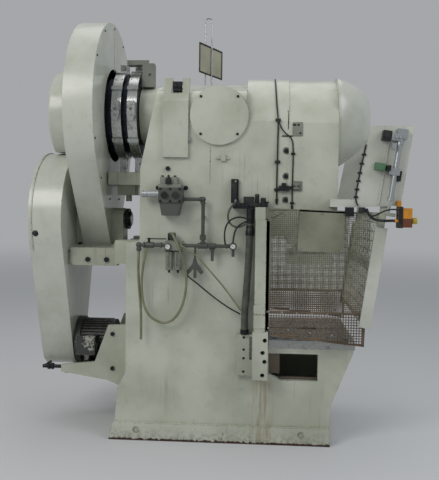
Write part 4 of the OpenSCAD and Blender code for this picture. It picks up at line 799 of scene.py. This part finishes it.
# Valve manifold: knobs, ports and a terminal block
def manifold_fittings():
    bm = bmesh.new()
    for x, z, r, tall in ((0.224, 1.536, 0.014, 0.016), (0.262, 1.516, 0.016, 0.014),
                          (0.284, 1.498, 0.012, 0.010)):
        turned(bm, [(0, 0.0), (0, r), (tall * 0.7, r), (tall, r * 0.8), (tall, 0.0)], (x, NEAR - 0.040, z),
               UP, 20)
    for x in (0.090, 0.115, 0.165, 0.190, 0.235, 0.262):
        turned(bm, [(0, 0.0), (0, 0.010), (0.008, 0.010), (0.012, 0.007), (0.012, 0)], (x, NEAR - 0.066, 1.481),
               OUTWARD, 16)
    # Body of the solenoid between the manifold and the conduit
    block(bm, (0.150, NEAR - 0.060, 1.498), (0.198, NEAR - 0.010, 1.530))
    bar(bm, (0.104, NEAR - 0.018, 1.642), (0.104, NEAR - 0.018, 1.500), 0.006, segments=12)
    piece("manifold_fittings", bm, BLACK_PLASTIC, 0.0015)
    bm = bmesh.new()
    block(bm, (0.215, NEAR - 0.036, 1.398), (0.272, NEAR - 0.0005, 1.474))
    for z in (1.412, 1.430, 1.448):
        block(bm, (0.219, NEAR - 0.039, z), (0.268, NEAR - 0.035, z + 0.008))
    piece("terminal_block", bm, BEIGE_PLASTIC, 0.002)
    bm = bmesh.new()
    for x, z in ((0.092, 1.628), (0.092, 1.512), (0.226, 1.466), (0.264, 1.466)):
        hexagon(bm, (x, NEAR - 0.034 if x < 0.1 else NEAR - 0.036, z), OUTWARD, 0.012, 0.006)
    piece("manifold_bolts", bm, OILED_STEEL, 0.0006)


manifold_fittings()


# Gauges: white dials with a black ring, plain scale marks and a pointer
def dial(name, centre, radius):
    """A gauge's face, with its ring, nine scale marks and a pointer."""
    bm = bmesh.new()
    turned(bm, [(0, 0), (0, radius)], centre, OUTWARD, 32)
    piece(name + "_dial", bm, WHITE_DIAL)
    bm = bmesh.new()
    turned(bm, [(-0.004, radius), (0.003, radius), (0.003, radius + 0.0035), (-0.004, radius + 0.0035),
                (-0.004, radius)], centre, OUTWARD, 32)

    def mark(low, high, degrees):
        turn = Matrix.Translation(centre) @ Matrix.Rotation(radians(degrees), 4, "Y")
        bmesh.ops.transform(bm, matrix=turn, verts=block(bm, low, high))

    for i in range(9):
        mark((-0.0007, -0.0006, radius * 0.74), (0.0007, 0, radius * 0.92), -45 + i * 33.75)
    mark((-0.0008, -0.0012, -radius * 0.2), (0.0008, 0, radius * 0.7), -60)
    piece(name + "_ring", bm, BLACK_STEEL)


dial("line_gauge", (0.082, -0.5212, PIPE_Z), 0.0165)
dial("filter_gauge", (-0.314, -0.5482, 1.226), 0.0165)


# Air treatment: bowls, ribs of the knob, drain screws and the fins of the silencer
def air_treatment():
    bm = bmesh.new()
    for x in (-0.310, -0.256):
        turned(bm, [(0, 0.0), (0.004, 0.010), (0.010, 0.0165), (0.020, 0.0178), (0.104, 0.0178), (0.104, 0)],
               (x, PIPE_Y, 1.094), UP, 32)
    piece("filter_bowls", bm, BOWL)
    bm = bmesh.new()
    for x in (-0.310, -0.256):
        turned(bm, [(0, 0.0), (0, 0.007), (0.012, 0.007), (0.014, 0.012), (0.020, 0.012), (0.020, 0)],
               (x, PIPE_Y, 1.064), UP, 20)
        turned(bm, [(0, 0.0), (0, 0.0265), (0.010, 0.0265), (0.010, 0)], (x, PIPE_Y, 1.194), UP, 24)
    # Ribbed knob of the regulator
    for i in range(20):
        a = 2 * pi * i / 20
        centre = Vector((-0.296 + 0.0225 * cos(a), -0.498 + 0.0225 * sin(a), 0))
        bar(bm, centre + Vector((0, 0, 1.264)), centre + Vector((0, 0, 1.306)), 0.0026, 0.0022, 8)
    piece("filter_trim", bm, BLACK_PLASTIC, 0.0006)
    bm = bmesh.new()
    for i in range(11):
        turned(bm, [(0, 0.0185), (0, 0.0222), (0.0045, 0.0222), (0.0045, 0.0185)],
               (-0.474 + i * 0.0088, -0.512, 1.546), FORWARD, 32)
    turned(bm, [(0, 0), (0, 0.013), (0.010, 0.018), (0.010, 0)], (-0.486, -0.512, 1.546), FORWARD, 32)
    piece("silencer_fins", bm, ALUMINIUM)
    # Pipe rings: the beads of elbows, tees and unions
    bm = bmesh.new()
    for x, z, axis, r in ((-0.120, 1.516, FORWARD, 0.0165), (-0.104, 1.494, UP, 0.0165),
                           (-0.104, 1.252, UP, 0.0165), (-0.130, PIPE_Z, FORWARD, 0.0185),
                           (-0.080, PIPE_Z, FORWARD, 0.0185), (-0.062, PIPE_Z, FORWARD, 0.0175),
                           (-0.030, PIPE_Z, FORWARD, 0.0175), (-0.045, 1.210, UP, 0.0150),
                           (0.040, PIPE_Z, FORWARD, 0.0150), (-0.360, PIPE_Z, FORWARD, 0.0165),
                           (-0.410, PIPE_Z, FORWARD, 0.0185), (-0.466, PIPE_Z, FORWARD, 0.0185),
                           (-0.499, 1.206, UP, 0.0165), (-0.225, 1.516, FORWARD, 0.0175)):
        turned(bm, [(-0.005, r - 0.006), (-0.005, r - 0.001), (-0.003, r), (0.003, r), (0.005, r - 0.001),
                    (0.005, r - 0.006)], (x, PIPE_Y, z), axis, 24)
    # Rounded elbow at the left end and at the corner of the riser
    bmesh.ops.create_uvsphere(bm, u_segments=24, v_segments=12, radius=0.0185,
                              matrix=Matrix.Translation((-0.499, PIPE_Y, PIPE_Z)))
    piece("pipe_beads", bm, PIPE_ENAMEL)


air_treatment()


# Safety valve: cover lines, bolts, solenoid caps and cable glands
def valve_details():
    bm = bmesh.new()
    for x in (-0.392, -0.217):
        turned(bm, [(0, 0), (0, 0.014), (0.003, 0.014), (0.003, 0)], (x, NEAR, 1.585), OUTWARD, 20)
    for x in (-0.360, -0.300, -0.242):
        hexagon(bm, (x, -0.556, 1.577), OUTWARD, 0.013, 0.008)
        hexagon(bm, (x, -0.556, 1.503), OUTWARD, 0.013, 0.008)
    for x in (-0.352, -0.276):
        hexagon(bm, (x, -0.520, 1.650), UP, 0.016, 0.009)
    piece("valve_bolts", bm, BLACK_STEEL, 0.0006)
    bm = bmesh.new()
    for x in (-0.335, -0.268):
        turned(bm, [(0, 0), (0, 0.0215), (0.004, 0.0215), (0.007, 0.018), (0.007, 0)], (x, -0.568, 1.540),
               OUTWARD, 32)
    block(bm, (-0.330, -0.556, 1.606), (-0.296, -0.520, 1.640))
    bar(bm, (-0.313, -0.538, 1.640), (-0.313, -0.538, 1.662), 0.008, 0.006, 16)
    piece("valve_caps", bm, BLACK_PLASTIC, 0.0012)


valve_details()

SHAFT_Z = 2.080  # height of the shaft's axis
# The two brake bands: where they are along the shaft, their outer radius, and how far their ends reach
BAND_REAR, BAND_FRONT, BAND_R, BAND_REACH = -0.694, -0.592, 0.2923, 0.3183


# Seam, rolled rims and screws of the guards, and the small things on them
def guard_trim():
    bm = bmesh.new()
    # Joint between the two halves of the gear guard, on its front and rear faces
    for x in (-0.7655, -0.9487):
        block(bm, (x - 0.0012, -0.0215, 2.372), (x + 0.0012, -0.0190, 2.686))
    # Joint flange of the belt guard with its screws
    turned(bm, [(-0.0035, 0.4385), (-0.0035, 0.4455), (0.0035, 0.4455), (0.0035, 0.4385)],
           (-1.1990, 0, 1.380), FORWARD, 96)
    piece("guard_seams", bm, BRACKET_ENAMEL)
    bm = bmesh.new()
    for k in range(12):
        a = radians(200 + 28 * k)
        hexagon(bm, (-0.7645, 0.583 * cos(a), SHAFT_Z + 0.583 * sin(a)), FORWARD, 0.011, 0.0045)
    for k in range(8):
        a = radians(22.5 + 45 * k)
        hexagon(bm, (-1.1400, 0.265 * cos(a), SHAFT_Z + 0.265 * sin(a)), BACKWARD, 0.013, 0.001)
    piece("guard_screws", bm, BLACK_STEEL)
    # Oval knob on the belt guard
    bm = bmesh.new()
    turned(bm, [(0, 0), (0, 0.018), (0.006, 0.020), (0.010, 0.016), (0.011, 0)], (-1.1750, -0.4290, 1.290),
           (0, -0.98, -0.2), 32)
    piece("belt_guard_knob", bm, BLACK_PLASTIC)


guard_trim()


# Bolts of the brake bands, and the feet of the bands
def brake_bolts():
    bm = bmesh.new()
    for x in (BAND_REAR, BAND_FRONT):
        for side in (-1, 1):
            hexagon(bm, (x, side * 0.034, 2.398), (0, side, 0), 0.024, 0.012)
            for z in (2.052, 2.118):
                hexagon(bm, (x, side * BAND_REACH, z), (0, side, 0), 0.016, 0.007)
            for turn in (-52, -22, 48):
                a = radians(turn)
                out = Vector((0, side * cos(a), sin(a)))
                for shift in (-0.020, 0.020):
                    bar(bm, Vector((x + shift, 0, SHAFT_Z)) + out * (BAND_R - 0.002),
                        Vector((x + shift, 0, SHAFT_Z)) + out * (BAND_R + 0.003), 0.0055, 0.004, 12)
    piece("brake_bolts", bm, OILED_STEEL)


brake_bolts()


# Roller chain round the sprocket of the countershaft
def chain():
    bm = bmesh.new()
    count, reach, hub = 34, 0.0665, Vector((-0.668, 0, 1.380))
    ahead = Vector(FORWARD)

    def joint(k):
        a = 2 * pi * k / count
        return Vector((0, cos(a), sin(a))) * reach + hub

    for k in range(count):
        centre = joint(k)
        bar(bm, centre - ahead * 0.010, centre + ahead * 0.010, 0.0042, segments=10)
        if k % 2:
            continue
        # A pair of side plates from this joint to the next
        along = joint(k + 1) - centre
        turn = Matrix((ahead, along.normalized(), ahead.cross(along.normalized()))).transposed().to_4x4()
        for shift in (-0.0105, 0.0105):
            middle = centre + along / 2 + ahead * shift
            bmesh.ops.create_cube(bm, size=1, matrix=Matrix.Translation(middle) @ turn
                                  @ Matrix.Diagonal((0.002, along.length + 0.008, 0.009, 1)))
    piece("roller_chain", bm, BLACK_STEEL, doubles=False, body="counter")


chain()


# Fittings round the guard cylinder: clamps, valve, flow screws and the position switches
def cylinder_fittings():
    def slanted(bm, u0, u1, v0, v1, y0, y1):
        outline = [leaning(u, v) for u, v in ((u0, v0), (u1, v0), (u1, v1), (u0, v1))]
        slab(bm, [(x, y0, z) for x, z in outline], (0, y1 - y0, 0))

    def foot_v(z):
        return (z - STILE_Z) / cos(LEAN)

    bm = bmesh.new()
    slanted(bm, -0.086, -0.036, foot_v(1.861), foot_v(1.919), -0.618, -0.5585)
    slanted(bm, -0.034, -0.012, foot_v(1.690), foot_v(1.722), -0.636, -0.5585)
    slanted(bm, 0.040, 0.058, foot_v(1.640), foot_v(1.700), -0.612, -0.5585)
    piece("cylinder_switches", bm, BLACK_PLASTIC, 0.0012)
    bm = bmesh.new()
    slanted(bm, -0.036, 0.022, foot_v(1.866), foot_v(1.906), -0.632, -0.5585)
    slanted(bm, -0.026, -0.004, foot_v(1.812), foot_v(1.850), -0.640, -0.6165)
    x, z = leaning(-0.010, foot_v(1.886))
    bar(bm, (x, -0.632, z), (x, -0.648, z), 0.010, segments=6)
    x, z = leaning(0.012, foot_v(1.886))
    bar(bm, (x, -0.632, z), (x, -0.642, z), 0.007, segments=16)
    piece("cylinder_valve", bm, ALUMINIUM, 0.001)
    bm = bmesh.new()
    slanted(bm, -0.100, -0.040, foot_v(1.688), foot_v(1.730), -0.612, -0.5585)
    piece("green_clamp", bm, GREEN_PLASTIC, 0.0015)
    # Sensor box and elbow under the side plate
    bm = bmesh.new()
    block(bm, (0.747, -0.5835, 1.424), (0.797, -0.5470, 1.4795))
    block(bm, (0.826, -0.604, 1.447), (0.860, -0.556, 1.4795))
    bar(bm, (0.856, -0.590, 1.461), (0.877, -0.590, 1.461), 0.0125, segments=24)
    bar(bm, (0.772, -0.5835, 1.446), (0.772, -0.588, 1.446), 0.009, segments=24)
    piece("sensor_box", bm, BLACK_PLASTIC, 0.0015)


cylinder_fittings()


# Dark border round the bare face of the sign
def sign_border():
    bm = bmesh.new()
    for low, high in (((-0.165, -0.0045, 0.0875), (0.165, -0.0012, 0.0975)),
                      ((-0.165, -0.0045, -0.0975), (0.165, -0.0012, -0.0875)),
                      ((-0.165, -0.0045, -0.0875), (-0.155, -0.0012, 0.0875)),
                      ((0.155, -0.0045, -0.0875), (0.165, -0.0012, 0.0875))):
        block(bm, low, high)
    turn = Matrix.Translation((-0.1106, 0.0027, 2.448)) @ Matrix.Rotation(radians(67), 4, "Z")
    bmesh.ops.transform(bm, matrix=turn, verts=bm.verts)
    piece("sign_border", bm, BLACK_STEEL)


sign_border()


# Lower half of the push-button box, its seam and its screws
def button_box_parts():
    bm = bmesh.new()
    block(bm, (1.0715, -0.6375, 1.3655), (1.1255, -0.5645, 1.4180))
    piece("button_box_lower_half", bm, BROWN_PLASTIC, 0.0015)
    bm = bmesh.new()
    block(bm, (1.0455, -0.6405, 1.3615), (1.0725, -0.5615, 1.4865))
    piece("button_box_back", bm, BLACK_PLASTIC, 0.002)
    bm = bmesh.new()
    turned(bm, [(0, 0.0115), (0, 0.0175), (0.0012, 0.0175), (0.0022, 0.0115)], (1.1255, -0.601, 1.404),
           FORWARD, 32)
    for y, z in ((-0.630, 1.372), (-0.572, 1.372), (-0.630, 1.472), (-0.572, 1.472)):
        bar(bm, (1.1250, y, z), (1.1268, y, z), 0.0035, segments=12)
    piece("button_box_screws", bm, OILED_STEEL)


button_box_parts()


# Bolts of the countershaft bracket, its bearing blocks, the motor and the tension rod
def drive_bolts():
    bm = bmesh.new()
    for side in (-1, 1):
        for x in (-0.871, -0.748):
            hexagon(bm, (x, side * 0.300, 1.120), (0, side, 0), 0.030, 0.013)
        for x in (-0.979, -0.728):
            hexagon(bm, (x, side * 0.094, 1.204), UP, 0.024, 0.014)
        for z in (0.400, 0.628):
            hexagon(bm, (-0.715, side * 0.262, z), (0, side, 0), 0.026, 0.011)
        for x in (-0.915, -0.795):
            hexagon(bm, (x, side * 0.135, 0.4265), UP, 0.020, 0.012)
    hexagon(bm, (-1.112, -0.250, 0.400), BACKWARD, 0.038, 0.016)
    hexagon(bm, (-1.136, -0.250, 0.400), BACKWARD, 0.038, 0.016)
    piece("drive_bolts", bm, BLACK_STEEL, 0.0006)


drive_bolts()


# Cover of the motor's terminal box, its screws and its gland
def motor_trim():
    bm = bmesh.new()
    block(bm, (-0.966, -0.2455, 0.478), (-0.838, -0.2385, 0.603))
    for x, z in ((-0.958, 0.486), (-0.846, 0.486), (-0.958, 0.595), (-0.846, 0.595)):
        bar(bm, (x, -0.2455, z), (x, -0.2485, z), 0.0045, segments=12)
    bar(bm, (-0.902, -0.205, 0.484), (-0.902, -0.205, 0.440), 0.017, segments=6)
    piece("terminal_box_cover", bm, MOTOR_ENAMEL, 0.0015)


motor_trim()


# Screws and pins of the hinge plates and of the door post
def hinge_trim():
    bm = bmesh.new()
    for side in (-1, 1):
        for z in (0.458, 0.541, 0.595, 0.670):
            x = 0.272 if z in (0.458, 0.595) else 0.284
            bar(bm, (x, side * 0.5145, z), (x, side * 0.521, z), 0.0105, segments=6)
            bar(bm, (0.155, side * 0.472, z), (0.155, side * 0.478, z), 0.007, segments=6)
    piece("hinge_screws", bm, BLACK_STEEL)


hinge_trim()


# Catch of the clamp cover, and the clip on the weld seam below it
def small_brackets():
    bm = bmesh.new()
    block(bm, (-0.2045, -0.4660, 1.862), (-0.1900, -0.4495, 1.902))
    bar(bm, (-0.1975, -0.466, 1.880), (-0.1975, -0.476, 1.880), 0.006, segments=16)
    piece("cover_catch", bm, OILED_STEEL, 0.001)
    bm = bmesh.new()
    block(bm, (-0.030, -0.4620, 1.764), (0.052, -0.4495, 1.774))
    block(bm, (-0.002, -0.4700, 1.752), (0.028, -0.4495, 1.792))
    piece("seam_clip", bm, BRACKET_ENAMEL, 0.0015)


small_brackets()


# A dark steel block with two bolts in the window of the clamp cover, painted shade of the dark space behind it,
# and the darker lower body of the double valve
def dark_parts():
    bm = bmesh.new()
    # Painted shade: a dark steel block fills the window of the clamp cover and stands for a clamp and for the
    # shade behind it
    block(bm, (-0.3095, -0.412, 2.1850), (-0.2505, -0.372, 2.2440))
    for x in (-0.294, -0.266):
        hexagon(bm, (x, -0.412, 2.212), OUTWARD, 0.018, 0.008)
    piece("clamp_bolts_and_window_shade", bm, BLACK_STEEL, 0.001)
    bm = bmesh.new()
    block(bm, (-0.3728, -0.5565, 1.4932), (-0.2292, -0.4500, 1.5856))
    slab(bm, [(-0.3668, -0.5488, 1.4935), (-0.2372, -0.5488, 1.4935), (-0.2512, -0.5488, 1.4152),
              (-0.3528, -0.5488, 1.4152)], (0, 0.098, 0))
    piece("valve_lower_body", bm, PIPE_ENAMEL, 0.002)
    # Brown inner wall of the chip opening
    bm = bmesh.new()
    block(bm, (0.3095, -0.418, 0.4360), (0.3780, -0.4005, 0.5675))
    block(bm, (0.3780, -0.418, 0.4030), (0.6125, -0.4005, 0.4150))
    piece("chip_chute_wall", bm, CHUTE_PAINT, 0.0008)


dark_parts()
